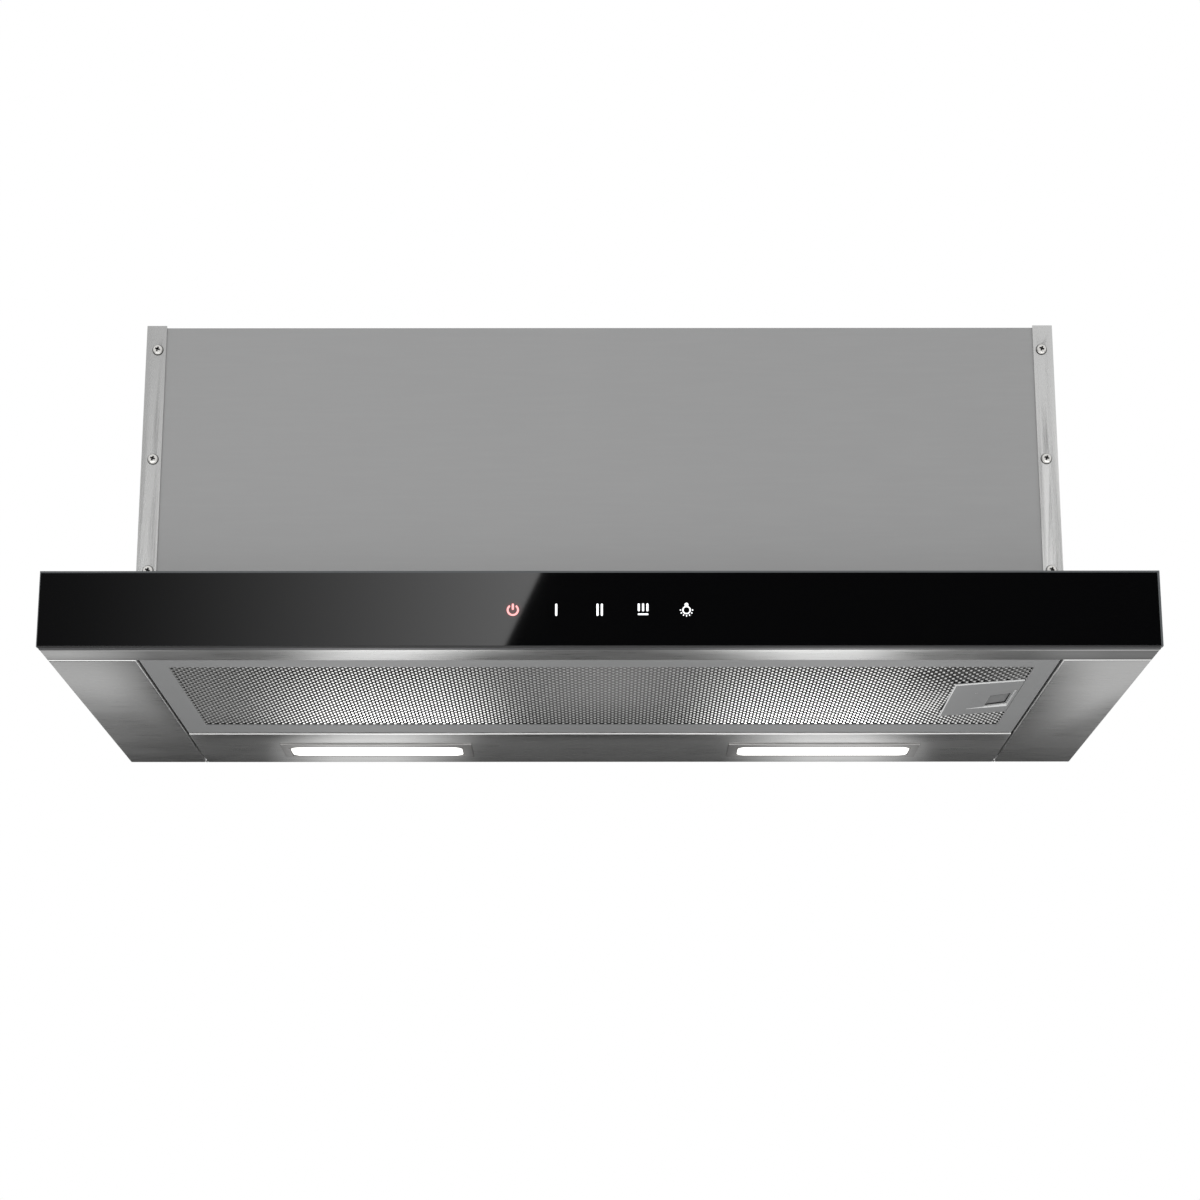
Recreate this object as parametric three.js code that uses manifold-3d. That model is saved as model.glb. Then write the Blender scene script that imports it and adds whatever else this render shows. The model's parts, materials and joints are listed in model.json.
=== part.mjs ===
// A 60 cm pull-out range hood: a steel body that hangs in a wall cabinet, two fixed wings and a lamp
// panel under it, and a drawer with a glass front, a grease filter and ball runners.
//
// Millimetres. +X runs to the right as the cook sees it, +Y to the wall, +Z up. The origin lies on the
// wall plane, on the centre line, at the height of the cabinet's underside (the tops of the wings).

import * as THREE from 'three';
import { mergeVertices } from 'three/addons/utils/BufferGeometryUtils.js';
import Module from 'manifold-3d';

const wasm = await Module();
wasm.setup();

// ---------------------------------------------------------------- driving dimensions
// Overall
const overallWidth = 598; // glass front, and over the wings
const closedDepth = 300; // wall to glass face with the drawer shut
const lowerHeight = 40; // the wings' underside to the cabinet's underside
const wingWidth = 45.5; // a wing past the body's side
const bodyHeight = 192.7; // the wings' underside to the front panel's top edge
const drawerFrontDepth = 33; // glass face to the body's front face

// Sheet and clearances
const sheet = 1; // folded steel sheet
const seatGap = 0.3; // between pieces that are seated on each other
const slideGap = 0.4; // between runner members, and over the filter latch
const frontGap = 1.5; // between the shut drawer front and the wings

// Drawer front
const glassHeight = 41.6;
const glassThickness = 4;
const backingThickness = 3;
const backingInset = 1.5; // from the glass's ends
const backingFoot = 0.1; // above the glass's lower edge
const channelFoot = 0; // the lip's underside above the wings' underside
const channelTopInset = 1; // below the glass's top edge
const channelSideInset = 0.5;
const windowWidth = 140; // light window behind the touch marks
const windowHeight = 24;
const touchHeight = 20; // centre of the touch marks above the wings' underside
const boardThickness = 1.6;
const boardMargin = 2; // the touch board past the window

// Body panels
const flangeWidth = 11; // front flanges of the side panels
const flangeRise = 1; // side panels above the front panel
const frontPanelLift = 1.4; // front panel above the drawer's channel
const foldDepth = 12; // top fold of the front panel
const lowerFoldDepth = 8;
const returnDepth = 10; // folds of the back, top and intake sheets
const foldMargin = 13; // the top sheet's folds stop this far from its ends
const screwInset = 6.5; // screw line from the body's side
const screwsPerSide = 3;
const screwTopInset = 13.4; // top screw under the front panel's top edge
const screwFootInset = 8.9; // lowest screw above the front panel's lower edge
const screwHeadRadius = 2.8;
const screwHeadHeight = 1.9;
const screwShankRadius = 1.6;
const screwLength = 6;

// Wings and lamp panel
const wingFoldInset = 2.4; // the wing's upstand inside the body's side
const upstandThickness = 0.8;
const upstandHeight = 13;
const wingFloor = 1.1;
const lampPanelDepth = 82; // from the wall
const lampPanelFoot = 0; // above the wings' underside
const lampPanelHeight = 12;
const lampPanelGap = 1.1; // to the wing's upstand
const lampSideInset = 52.4; // bezel to the lamp panel's end
const lampLength = 118.2;
const lampFrontInset = 26; // bezel to the lamp panel's front edge
const lampDepth = 36.5;
const bezelDrop = 0.9; // bezel below the panel
const bezelFlange = 2;
const lampWall = 1.5;
const lampHousingHeight = 9;
const lensInnerInset = 6;
const lensOuterInset = 5;
const lensFrontInset = 8;
const lensBackInset = 3.8;
const lensThickness = 1.8;
const lensRecess = 0.2; // lens face above the bezel's face

// Front filter
const filterFoot = 0.8;
const filterThickness = 10.1;
const filterSideGap = 1.2; // to the wing's upstand
const filterFrontGap = 0.1;
const filterBackGap = 2.3; // to the lamp panel
const borderLeft = 13.6;
const borderRight = 11.7;
const borderFront = 17.3;
const borderBack = 20;
const filterLip = 1; // thickness of the lip that carries the mesh
const filterLipWidth = 3.3;
const meshThickness = 1.2;
const netColumns = 20;
const netRows = 10;
const netStrand = 3.2; // between two gaps of a row
const netDiamondShare = 0.78; // a gap's half height to the row pitch
const layersTopInset = 1;

// Filter latch
const latchWidth = 39.2; // latch plate, from the frame's right border
const latchFrontInset = 31.9; // latch plate, from the frame's front border
const latchDepth = 77.7;
const latchDrop = 3; // left edge lower than the right edge
const latchPlateThickness = 1.6;
const latchMargin = 1; // mesh and layers around the plate
const pocketRightInset = 1.4; // pocket's right wall from the frame
const pocketWidth = 18;
const pocketFront = 22; // behind the plate's front edge
const pocketDepth = 41;
const sliderFront = 39.3; // behind the plate's front edge
const sliderWidth = 20.4;
const sliderThickness = 2;
const sliderLift = 3.6; // above the filter's underside
const tabThickness = 2;
const tabDrop = 3.8;
const hookReach = 3;
const hookThickness = 1;
const riserThickness = 3;
const latchClearance = 1; // notches and slots around the slider
const latchStroke = 5; // to the left, to draw the latch

// Drawer
const seatInset = 2.1; // seat plate to the wing's upstand
const seatBorder = 13;
const runnerHeight = 24;
const runnerDepth = 10; // across the three members
const runnerFrontInset = 3; // from the body's front
const runnerRearInset = 14; // from the wall
const runnerWall = 1.2;
const runnerWebGap = 0.5;
const runnerLipInset = 2.5; // the drawer's side to the outer members' open edge
const tieDepth = 14;
const tieHeight = 10.6;

// Rear filter and intake sheet
const rearFilterLift = 4.4; // above the visor top
const rearFilterThickness = 9.1;
const rearFilterSideInset = 14.5; // to the body's sides
const rearFilterFrontInset = 3; // from the body's front
const rearFilterBackGap = 5; // ahead of the lamp panel
const rearBorder = 16;
const rearSideBorder = 18;
const rearLipWidth = 3;
const keeperGap = 2.3;
const keeperWidth = 50;
const keeperSlotGap = 0.3;
const rearLatchWidth = 19.4;
const rearLatchThickness = 2;
const rearLatchReach = 1; // tip past the keeper
const rearTabDrop = 3;
const hookLedge = 4.3;

// Blower
const blowerInset = 132; // axis, from the wall
const blowerHeight = 117; // axis, above the wings' underside
const wheelRadius = 42;
const wheelLength = 123;
const bladeCount = 24;
const bladeChord = 8;
const bladeThickness = 0.9;
const bladePitch = 30; // degrees from the radius
const ringWidth = 6;
const ringThickness = 1.5;
const discThickness = 2;
const hubRadius = 9;
const hubLength = 12;
const shaftRadius = 4;
const shaftLength = 15.7;
const scrollStart = 46; // inner radius at the cut-off
const scrollEnd = 60; // inner radius at the outlet
const scrollWall = 1.2;
const cutOffAngle = 70; // degrees above the rear horizontal
const outletRise = 49; // outlet edge above the axis
const cheekGap = 2.5; // the wheel's ends to the cheeks
const inletRadius = 38;
const motorRadius = 30;
const motorInset = 2; // the wheel's hub to the motor's face
const motorLength = 58;
const bracketThickness = 1.2;
const bracketArm = 8;
const bracketReach = 46;
const bracketFoot = 6;

// Outlet
const collarRadius = 60;
const collarWall = 1;
const collarHeight = 24;
const collarFlange = 10;
const collarFlangeThickness = 1.2;
const collarOffset = 38; // the collar's axis behind the blower's axis
const outletHoleRadius = 57;
const ledgeWidth = 3.5;
const ledgeThickness = 1.2;
const ledgeHeight = 3.6; // above the top sheet
const flapThickness = 0.8;
const flapGap = 1.5; // flap's rim to the collar
const pinRadius = 1.2;
const pinClearance = 0.7; // flap's straight edge to the pin

// Electrics
const controlBoxDepth = 110;
const controlBoxHeight = 85;
const controlBoxWidth = 35;
const controlBoxInset = 77; // from the body's front
const controlBoxLift = 80;
const controlBoxWall = 2;
const controlBoardInset = 14;
const capacitorRadius = 12;
const capacitorLength = 60;
const capacitorInset = 27; // from the body's front
const glandRadius = 11;
const glandStem = 8;
const glandBore = 4;
const glandHeight = 15;
const glandSideInset = 52.5; // to the body's side
const glandRearInset = 30; // from the wall

// ---------------------------------------------------------------- derived places
const halfWidth = overallWidth / 2;
const bodyHalf = halfWidth - wingWidth;
const sideInner = bodyHalf - sheet;
const glandX = -(sideInner - glandSideInset);
const wingInner = bodyHalf - wingFoldInset;
const upstandOuter = wingInner + upstandThickness;
const filterHalf = wingInner - filterSideGap;
const lampPanelHalf = wingInner - lampPanelGap;
const drawerHalf = sideInner - runnerDepth;
const seatHalf = wingInner - seatInset;

const filterTop = filterFoot + filterThickness;
const seatFoot = filterTop + seatGap;
const seatTop = seatFoot + sheet;
const hookFoot = seatTop + slideGap;
const runnerFoot = hookFoot + hookThickness + slideGap;
const channelTop = glassHeight - channelTopInset;
const visorTop = channelTop - sheet;
const visorFoot = visorTop - sheet;
const frontPanelFoot = channelTop + frontPanelLift;
const sideFoot = upstandHeight + seatGap;
const topSheetTop = bodyHeight - sheet;
const topSheetFoot = topSheetTop - sheet;
const rearFilterFoot = visorTop + rearFilterLift;
const intakeFoot = rearFilterFoot + rearFilterThickness + seatGap;
const intakeTop = intakeFoot + sheet;

const channelFront = glassThickness + backingThickness;
const channelBack = drawerFrontDepth - frontGap;
const lampPanelFront = closedDepth - lampPanelDepth;
const filterFront = drawerFrontDepth + filterFrontGap;
const filterBack = lampPanelFront - filterBackGap;
const openLeft = -filterHalf + borderLeft;
const openRight = filterHalf - borderRight;
const openFront = filterFront + borderFront;
const openBack = filterBack - borderBack;
const latchLeft = openRight - latchWidth;
const latchFront = openFront + latchFrontInset;
const lampInner = lampPanelHalf - lampSideInset - lampLength;
const lampFront = lampPanelFront + lampFrontInset;
const blowerDepth = closedDepth - blowerInset;
const glandDepth = closedDepth - glandRearInset;

// ---------------------------------------------------------------- helpers
const back = (depth) => depth - closedDepth; // a depth behind the glass face, as Y
const up = (height) => height - lowerHeight; // a height above the wings' underside, as Z
const radians = THREE.MathUtils.degToRad;

// A box from X, depth behind the glass face and height above the wings' underside.
function box(x0, x1, depth0, depth1, height0, height1) {
  const geometry = new THREE.BoxGeometry(Math.abs(x1 - x0), depth1 - depth0, height1 - height0);
  return geometry.translate((x0 + x1) / 2, back((depth0 + depth1) / 2), up((height0 + height1) / 2));
}

function toSolid(geometry) {
  const plain = geometry.clone();
  plain.deleteAttribute('normal');
  plain.deleteAttribute('uv');
  const merged = mergeVertices(plain, 1e-4);
  return new wasm.Manifold(new wasm.Mesh({
    numProp: 3,
    vertProperties: Float32Array.from(merged.attributes.position.array),
    triVerts: Uint32Array.from(merged.index.array),
  }));
}

function toGeometry(solid) {
  const mesh = solid.getMesh();
  const geometry = new THREE.BufferGeometry();
  geometry.setAttribute('position', new THREE.BufferAttribute(mesh.vertProperties, 3));
  geometry.setIndex(new THREE.BufferAttribute(mesh.triVerts, 1));
  const flat = geometry.toNonIndexed();
  flat.computeVertexNormals();
  return flat;
}

function join(...geometries) {
  return toGeometry(geometries.map(toSolid).reduce((whole, next) => whole.add(next)));
}

function cut(geometry, ...tools) {
  return toGeometry(tools.map(toSolid).reduce((rest, tool) => rest.subtract(tool), toSolid(geometry)));
}

// A plate of the given outline, [across, along] points in XY, between two heights.
function plate(points, height0, height1) {
  const shape = new THREE.Shape(points.map(([x, y]) => new THREE.Vector2(x, y)));
  const geometry = new THREE.ExtrudeGeometry(shape, { depth: height1 - height0, bevelEnabled: false });
  return geometry.translate(0, 0, up(height0));
}

// A bar along X whose outline is [depth, height] points.
function barAlongX(points, x0, x1) {
  const shape = new THREE.Shape(points.map(([depth, height]) => new THREE.Vector2(back(depth), up(height))));
  const geometry = new THREE.ExtrudeGeometry(shape, { depth: x1 - x0, bevelEnabled: false });
  const basis = new THREE.Matrix4().makeBasis(
    new THREE.Vector3(0, 1, 0), new THREE.Vector3(0, 0, 1), new THREE.Vector3(1, 0, 0));
  return geometry.applyMatrix4(basis).translate(x0, 0, 0);
}

// A bar along Y whose outline is [x, height] points.
function barAlongY(points, depth0, depth1) {
  const shape = new THREE.Shape(points.map(([x, height]) => new THREE.Vector2(x, up(height))));
  const geometry = new THREE.ExtrudeGeometry(shape, { depth: depth1 - depth0, bevelEnabled: false });
  return geometry.rotateX(Math.PI / 2).translate(0, back(depth1), 0);
}

// A round bar or disc, its axis along Z from height to height.
function discUp(radius, x, depth, height0, height1, sides = 32) {
  const geometry = new THREE.CylinderGeometry(radius, radius, height1 - height0, sides);
  return geometry.rotateX(Math.PI / 2).translate(x, back(depth), up((height0 + height1) / 2));
}

// A round bar with its axis along X.
function barRound(radius, x0, x1, depth, height, sides = 24) {
  const geometry = new THREE.CylinderGeometry(radius, radius, x1 - x0, sides);
  return geometry.rotateZ(-Math.PI / 2).translate((x0 + x1) / 2, back(depth), up(height));
}

// A round piece turned about Z from [radius, height] points that close on themselves.
function turned(points, x, depth, sides = 32) {
  const closed = [...points, points[0]].map(([radius, height]) => new THREE.Vector2(radius, height));
  return new THREE.LatheGeometry(closed, sides).rotateX(Math.PI / 2).translate(x, back(depth), up(0));
}

const paint = (color, roughness, metalness) =>
  new THREE.MeshStandardMaterial({ color, roughness, metalness });

const finish = {
  steel: paint(0x9a9b9b, 0.35, 1),
  bodySheet: paint(0x989898, 0.5, 0.9),
  zinc: paint(0xb4b8ba, 0.4, 1),
  aluminium: paint(0xa6a7a6, 0.45, 1),
  glass: paint(0x08090a, 0.05, 0),
  blackPlastic: paint(0x161616, 0.6, 0),
  greyPlastic: paint(0x55585a, 0.6, 0),
  lens: paint(0xfafaf6, 0.3, 0),
  circuit: paint(0x1d5c38, 0.5, 0),
  whitePlastic: paint(0xdedcd4, 0.5, 0),
};

function piece(name, geometry, material) {
  const mesh = new THREE.Mesh(geometry, material.clone());
  mesh.name = name;
  return mesh;
}

function group(...children) {
  const node = new THREE.Group();
  node.add(...children.flat());
  return node;
}

const sides = [['left', -1], ['right', 1]];

const screwHeights = Array.from({ length: screwsPerSide }, (_, index) => {
  const lowest = frontPanelFoot + screwFootInset;
  const highest = bodyHeight - screwTopInset;
  return lowest + ((highest - lowest) * index) / (screwsPerSide - 1);
});

// ---------------------------------------------------------------- body panels
function screwHole(side, height) {
  const radius = screwShankRadius + seatGap;
  const hole = new THREE.CylinderGeometry(radius, radius, 3 * foldDepth, 12);
  return hole.translate(side * (bodyHalf - screwInset), back(drawerFrontDepth), up(height));
}

function sidePanel(name, side) {
  const wall = box(side * sideInner, side * bodyHalf, drawerFrontDepth, closedDepth, sideFoot, bodyHeight);
  const flange = box(side * (bodyHalf - flangeWidth), side * bodyHalf,
    drawerFrontDepth, drawerFrontDepth + sheet, frontPanelFoot, bodyHeight + flangeRise);
  const holes = screwHeights.map((height) => screwHole(side, height));
  return piece(`side_panel_${name}`, cut(join(wall, flange), ...holes), finish.zinc);
}

function frontPanel() {
  const face = drawerFrontDepth + sheet;
  const half = sideInner - seatGap;
  const profile = [
    [face, frontPanelFoot], [face + lowerFoldDepth, frontPanelFoot],
    [face + lowerFoldDepth, frontPanelFoot + sheet], [face + sheet, frontPanelFoot + sheet],
    [face + sheet, topSheetTop], [face + foldDepth, topSheetTop],
    [face + foldDepth, bodyHeight], [face, bodyHeight],
  ];
  const holes = sides.flatMap(([, side]) => screwHeights.map((height) => screwHole(side, height)));
  return piece('front_panel', cut(barAlongX(profile, -half, half), ...holes), finish.bodySheet);
}

function backPanel() {
  const half = wingInner - seatGap;
  const foot = lampPanelFoot + sheet;
  const wall = box(-half, half, closedDepth - sheet, closedDepth, foot, topSheetTop);
  const returns = sides.map(([, side]) => box(side * (half - sheet), side * half,
    closedDepth - returnDepth, closedDepth - sheet / 2, intakeTop + returnDepth, topSheetFoot - returnDepth));
  return piece('back_panel', join(wall, ...returns), finish.zinc);
}

function topPanel() {
  const half = sideInner - seatGap;
  const front = drawerFrontDepth + 2 * sheet + seatGap;
  const rear = closedDepth - sheet - seatGap;
  const top = box(-half, half, front, rear, topSheetFoot, topSheetTop);
  const folds = sides.map(([, side]) => box(side * (half - sheet), side * half,
    front + foldMargin, rear - foldMargin, topSheetFoot - returnDepth, topSheetFoot + sheet / 2));
  const foot = topSheetFoot - sheet;
  const outlet = discUp(outletHoleRadius, 0, blowerDepth + collarOffset, foot, bodyHeight);
  const gland = discUp(glandStem + seatGap, glandX, glandDepth, foot, bodyHeight, 20);
  return piece('top_panel', cut(join(top, ...folds), outlet, gland), finish.zinc);
}

function panelScrew(name, side, height) {
  const profile = [
    [0, -screwLength], [screwShankRadius, -screwLength], [screwShankRadius, 0],
    [screwHeadRadius, 0], [screwHeadRadius, screwHeadHeight / 2], [screwHeadRadius / 2, screwHeadHeight],
    [0, screwHeadHeight],
  ].map(([radius, along]) => new THREE.Vector2(radius, along));
  const screw = piece(name, new THREE.LatheGeometry(profile, 12), finish.zinc);
  screw.rotation.x = Math.PI;
  screw.position.set(side * (bodyHalf - screwInset), back(drawerFrontDepth), up(height));
  return screw;
}

function panelScrews() {
  return sides.flatMap(([name, side]) => screwHeights.map((height, index) =>
    panelScrew(`panel_screw_${name}_${index + 1}`, side, height)));
}

// ---------------------------------------------------------------- wings and lamp panel
function wing(name, side) {
  const block = box(side * wingInner, side * halfWidth, drawerFrontDepth, closedDepth, 0, lowerHeight);
  const hollow = box(side * upstandOuter, side * (halfWidth - sheet),
    drawerFrontDepth + sheet, closedDepth - sheet, wingFloor, lowerHeight - sheet);
  const bodySide = box(side * (wingInner - sheet), side * bodyHalf,
    drawerFrontDepth - sheet, closedDepth + sheet, upstandHeight, lowerHeight + sheet);
  return piece(`wing_${name}`, cut(block, hollow, bodySide), finish.steel);
}

function lampPanel() {
  const rear = closedDepth - sheet;
  const tray = box(-lampPanelHalf, lampPanelHalf, lampPanelFront, rear,
    lampPanelFoot, lampPanelFoot + lampPanelHeight);
  const hollow = box(-(lampPanelHalf - sheet), lampPanelHalf - sheet, lampPanelFront + sheet, rear - sheet,
    lampPanelFoot + sheet, lampPanelFoot + lampPanelHeight + sheet);
  const rearStrip = box(-lampPanelHalf, lampPanelHalf, rear - sheet / 2, closedDepth,
    lampPanelFoot, lampPanelFoot + sheet);
  const apertures = sides.map(([, side]) => box(
    side * (lampInner + bezelFlange), side * (lampInner + lampLength - bezelFlange),
    lampFront + bezelFlange, lampFront + lampDepth - bezelFlange, -sheet, 2 * lampPanelHeight));
  return piece('lamp_panel', cut(join(cut(tray, hollow), rearStrip), ...apertures), finish.steel);
}

function lamp(name, side) {
  const x0 = lampInner;
  const x1 = lampInner + lampLength;
  const depth1 = lampFront + lampDepth;
  const inset = bezelFlange + seatGap;
  const roof = lampPanelFoot + lampHousingHeight;
  const wallInset = inset + lampWall;
  const lens = [x0 + lensInnerInset, x1 - lensOuterInset, lampFront + lensFrontInset, depth1 - lensBackInset];
  const flange = box(side * x0, side * x1, lampFront, depth1, lampPanelFoot - bezelDrop, lampPanelFoot);
  const neck = box(side * (x0 + inset), side * (x1 - inset), lampFront + inset, depth1 - inset,
    lampPanelFoot - bezelDrop / 2, roof);
  const cavity = box(side * (x0 + wallInset), side * (x1 - wallInset),
    lampFront + wallInset, depth1 - wallInset, lampPanelFoot, roof - lampWall);
  const window = box(side * (lens[0] - seatGap), side * (lens[1] + seatGap),
    lens[2] - seatGap, lens[3], -lampHousingHeight, lampPanelFoot + sheet);
  const bezel = cut(join(flange, neck), cavity, window);
  const lensFoot = lampPanelFoot - bezelDrop + lensRecess;
  const lensBox = box(side * lens[0], side * lens[1], lens[2], lens[3] - seatGap,
    lensFoot, lensFoot + lensThickness);
  const boardTop = roof - lampWall - seatGap;
  const board = box(side * (x0 + wallInset + seatGap), side * (x1 - wallInset - seatGap),
    lampFront + wallInset + seatGap, depth1 - wallInset - seatGap, boardTop - boardThickness, boardTop);
  return [
    piece(`lamp_bezel_${name}`, bezel, finish.steel),
    piece(`lamp_lens_${name}`, lensBox, finish.lens),
    piece(`led_board_${name}`, board, finish.whitePlastic),
  ];
}

// ---------------------------------------------------------------- rear filter and intake
const rearHalf = sideInner - rearFilterSideInset;
const rearFilterFront = drawerFrontDepth + rearFilterFrontInset;
const rearBack = lampPanelFront - rearFilterBackGap;
const rearMiddle = (rearFilterFront + rearBack) / 2;
const keeperX = rearHalf + keeperGap;
const rearLatchFront = rearMiddle - rearLatchWidth / 2;
const rearLatchFoot = rearFilterFoot + (rearFilterThickness - rearLatchThickness) / 2;
const rearSlotLeft = rearHalf - rearSideBorder + rearLipWidth + sheet;

function intakePlate() {
  const half = sideInner - seatGap;
  const front = drawerFrontDepth + 2 * sheet + seatGap;
  const floor = box(-half, half, front, closedDepth - returnDepth - seatGap, intakeFoot, intakeTop);
  const folds = sides.map(([, side]) => box(side * (half - sheet), side * half,
    front, closedDepth - returnDepth - seatGap, intakeFoot, intakeTop + returnDepth - sheet));
  const opening = box(-(rearHalf - foldMargin), rearHalf - foldMargin,
    rearFilterFront + rearBorder, rearBack - rearBorder, 0, bodyHeight);
  const keeper = box(keeperX, keeperX + sheet, rearMiddle - keeperWidth / 2, rearMiddle + keeperWidth / 2,
    rearFilterFoot, intakeFoot + sheet / 2);
  const slot = box(keeperX - sheet, keeperX + 2 * sheet,
    rearLatchFront - keeperSlotGap, rearLatchFront + rearLatchWidth + keeperSlotGap,
    rearLatchFoot - keeperSlotGap, rearLatchFoot + rearLatchThickness + keeperSlotGap);
  const hanger = barAlongY([
    [-keeperX - sheet, intakeFoot + sheet / 2], [-keeperX - sheet, rearFilterFoot - seatGap - sheet],
    [-keeperX + hookLedge, rearFilterFoot - seatGap - sheet],
    [-keeperX + hookLedge, rearFilterFoot - seatGap],
    [-keeperX, rearFilterFoot - seatGap], [-keeperX, intakeFoot + sheet / 2],
  ], rearMiddle - keeperWidth, rearMiddle + keeperWidth);
  const plateSolid = join(cut(join(floor, ...folds), opening), cut(keeper, slot), hanger);
  return piece('intake_plate', plateSolid, finish.zinc);
}

function rearFilter() {
  const top = rearFilterFoot + rearFilterThickness;
  const outer = box(-rearHalf, rearHalf, rearFilterFront, rearBack, rearFilterFoot, top);
  const field = box(-(rearHalf - rearSideBorder), rearHalf - rearSideBorder,
    rearFilterFront + rearBorder, rearBack - rearBorder, 0, bodyHeight);
  const inset = rearBorder - rearLipWidth;
  const sideInset = rearSideBorder - rearLipWidth;
  const pocket = box(-(rearHalf - sideInset), rearHalf - sideInset,
    rearFilterFront + inset, rearBack - inset, rearFilterFoot + filterLip, bodyHeight);
  const latchSlot = box(rearSlotLeft, rearHalf + sheet,
    rearLatchFront - keeperSlotGap, rearLatchFront + rearLatchWidth + keeperSlotGap,
    0, rearLatchFoot + rearLatchThickness + keeperSlotGap);
  const layers = box(-(rearHalf - sideInset - seatGap), rearHalf - sideInset - seatGap,
    rearFilterFront + inset + seatGap, rearBack - inset - seatGap, rearFilterFoot + filterLip, top - seatGap);
  return [
    piece('rear_filter_frame', cut(outer, field, pocket, latchSlot), finish.aluminium),
    piece('rear_filter_layers', layers, finish.aluminium),
  ];
}

function rearLatch() {
  const right = keeperX + sheet + rearLatchReach;
  const left = rearSlotLeft + latchStroke + seatGap;
  const barTop = rearLatchFoot + rearLatchThickness;
  const bar = box(left, right, rearLatchFront, rearLatchFront + rearLatchWidth, rearLatchFoot, barTop);
  const tab = box(left, left + tabThickness, rearLatchFront, rearLatchFront + rearLatchWidth,
    rearFilterFoot - rearTabDrop + tabThickness, rearLatchFoot + rearLatchThickness / 2);
  return piece('rear_filter_latch', join(bar, tab), finish.blackPlastic);
}

// ---------------------------------------------------------------- runners
// One member: a channel with its web at one side. web and tip are X, and grow outwards.
function runnerMember(name, side, web0, web1, tip, inset) {
  const foot = runnerFoot + inset;
  const top = runnerFoot + runnerHeight - inset;
  const rear = closedDepth - runnerRearInset;
  const front = drawerFrontDepth + runnerFrontInset;
  const web = box(side * web0, side * web1, front, rear, foot, top);
  const lips = [foot, top - runnerWall].map((height) =>
    box(side * web1, side * tip, front, rear, height, height + runnerWall));
  return piece(name, join(web, ...lips), finish.zinc);
}

const memberInset = runnerWall + slideGap;
const openEdge = drawerHalf + runnerLipInset;
const middleWeb = sideInner - runnerWall - runnerWebGap;

function outerRunner(name, side) {
  return runnerMember(`runner_outer_${name}`, side, sideInner, sideInner - runnerWall, openEdge, 0);
}

function middleRunner(name, side) {
  const web = middleWeb - runnerWall;
  return runnerMember(`runner_middle_${name}`, side, middleWeb, web, openEdge, memberInset);
}

function innerRunner(name, side) {
  const tip = middleWeb - runnerWall - slideGap;
  const web = drawerHalf + runnerWall;
  return runnerMember(`runner_inner_${name}`, side, drawerHalf, web, tip, 2 * memberInset);
}

// ---------------------------------------------------------------- blower
const axisDepth = blowerDepth;
const axisHeight = blowerHeight;
const wheelHalf = wheelLength / 2;
const cheekInner = wheelHalf + cheekGap;
const cheekOuter = cheekInner + scrollWall;
const cutOffY = scrollStart * Math.cos(radians(cutOffAngle));

// The scroll's outline about the blower's axis, offset outwards, as [depth, height].
function scrollOutline(offset) {
  const steps = 30;
  const start = Math.acos((cutOffY - offset) / (scrollStart + offset));
  const points = [[cutOffY - offset, outletRise]];
  for (let step = 0; step <= steps; step += 1) {
    const angle = start + (2 * Math.PI - start) * (step / steps);
    const radius = scrollStart + offset + (scrollEnd - scrollStart) * (step / steps);
    points.push([radius * Math.cos(angle), radius * Math.sin(angle)]);
  }
  points.push([scrollEnd + offset, outletRise]);
  return points.map(([y, z]) => [axisDepth + y, axisHeight + z]);
}

function scrollWrap() {
  const outline = [...scrollOutline(0), ...scrollOutline(scrollWall).reverse()];
  return piece('scroll_wrap', barAlongX(outline, -cheekInner, cheekInner), finish.zinc);
}

function scrollCheek(name, side) {
  const x0 = Math.min(side * cheekInner, side * cheekOuter);
  const disc = barAlongX(scrollOutline(scrollWall), x0, x0 + scrollWall);
  const inlet = barRound(inletRadius, x0 - sheet, x0 + scrollWall + sheet, axisDepth, axisHeight, 32);
  return piece(`scroll_cheek_${name}`, cut(disc, inlet), finish.zinc);
}

function wheelRing(x0) {
  const rim = barRound(wheelRadius, x0, x0 + ringThickness, axisDepth, axisHeight, 36);
  const eyeRadius = wheelRadius - ringWidth;
  const eye = barRound(eyeRadius, x0 - sheet, x0 + ringThickness + sheet, axisDepth, axisHeight, 36);
  return cut(rim, eye);
}

function fanBlade(index) {
  const blade = new THREE.BoxGeometry(wheelLength - ringThickness, bladeChord, bladeThickness);
  blade.rotateX(radians(bladePitch));
  blade.translate(0, wheelRadius - ringWidth / 2 - bladeThickness, 0);
  blade.rotateX((2 * Math.PI * index) / bladeCount);
  return blade.translate(0, back(axisDepth), up(axisHeight));
}

function fanWheel() {
  const blades = Array.from({ length: bladeCount }, (_, index) => fanBlade(index));
  const discRadius = wheelRadius - ringWidth / 2;
  const disc = barRound(discRadius, -discThickness / 2, discThickness / 2, axisDepth, axisHeight, 36);
  const hub = barRound(hubRadius, -hubLength / 2, hubLength / 2, axisDepth, axisHeight);
  const bore = barRound(shaftRadius + seatGap, -hubLength, hubLength, axisDepth, axisHeight, 20);
  const rings = [wheelRing(-wheelHalf), wheelRing(wheelHalf - ringThickness)];
  return piece('fan_wheel', cut(join(disc, hub, ...rings, ...blades), bore), finish.blackPlastic);
}

function blower() {
  const motorFace = hubLength / 2 + motorInset;
  const motorBack = motorFace + motorLength;
  const shaftEnd = motorFace - seatGap;
  const shaft = barRound(shaftRadius, shaftEnd - shaftLength, shaftEnd, axisDepth, axisHeight, 20);
  const motor = barRound(motorRadius, motorFace, motorBack, axisDepth, axisHeight, 32);
  return {
    fixed: [
      scrollWrap(),
      ...sides.map(([name, side]) => scrollCheek(name, side)),
      piece('motor', motor, finish.zinc),
      motorBracket(motorBack + seatGap),
    ],
    wheel: fanWheel(),
    shaft: piece('fan_shaft', shaft, finish.steel),
  };
}

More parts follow.
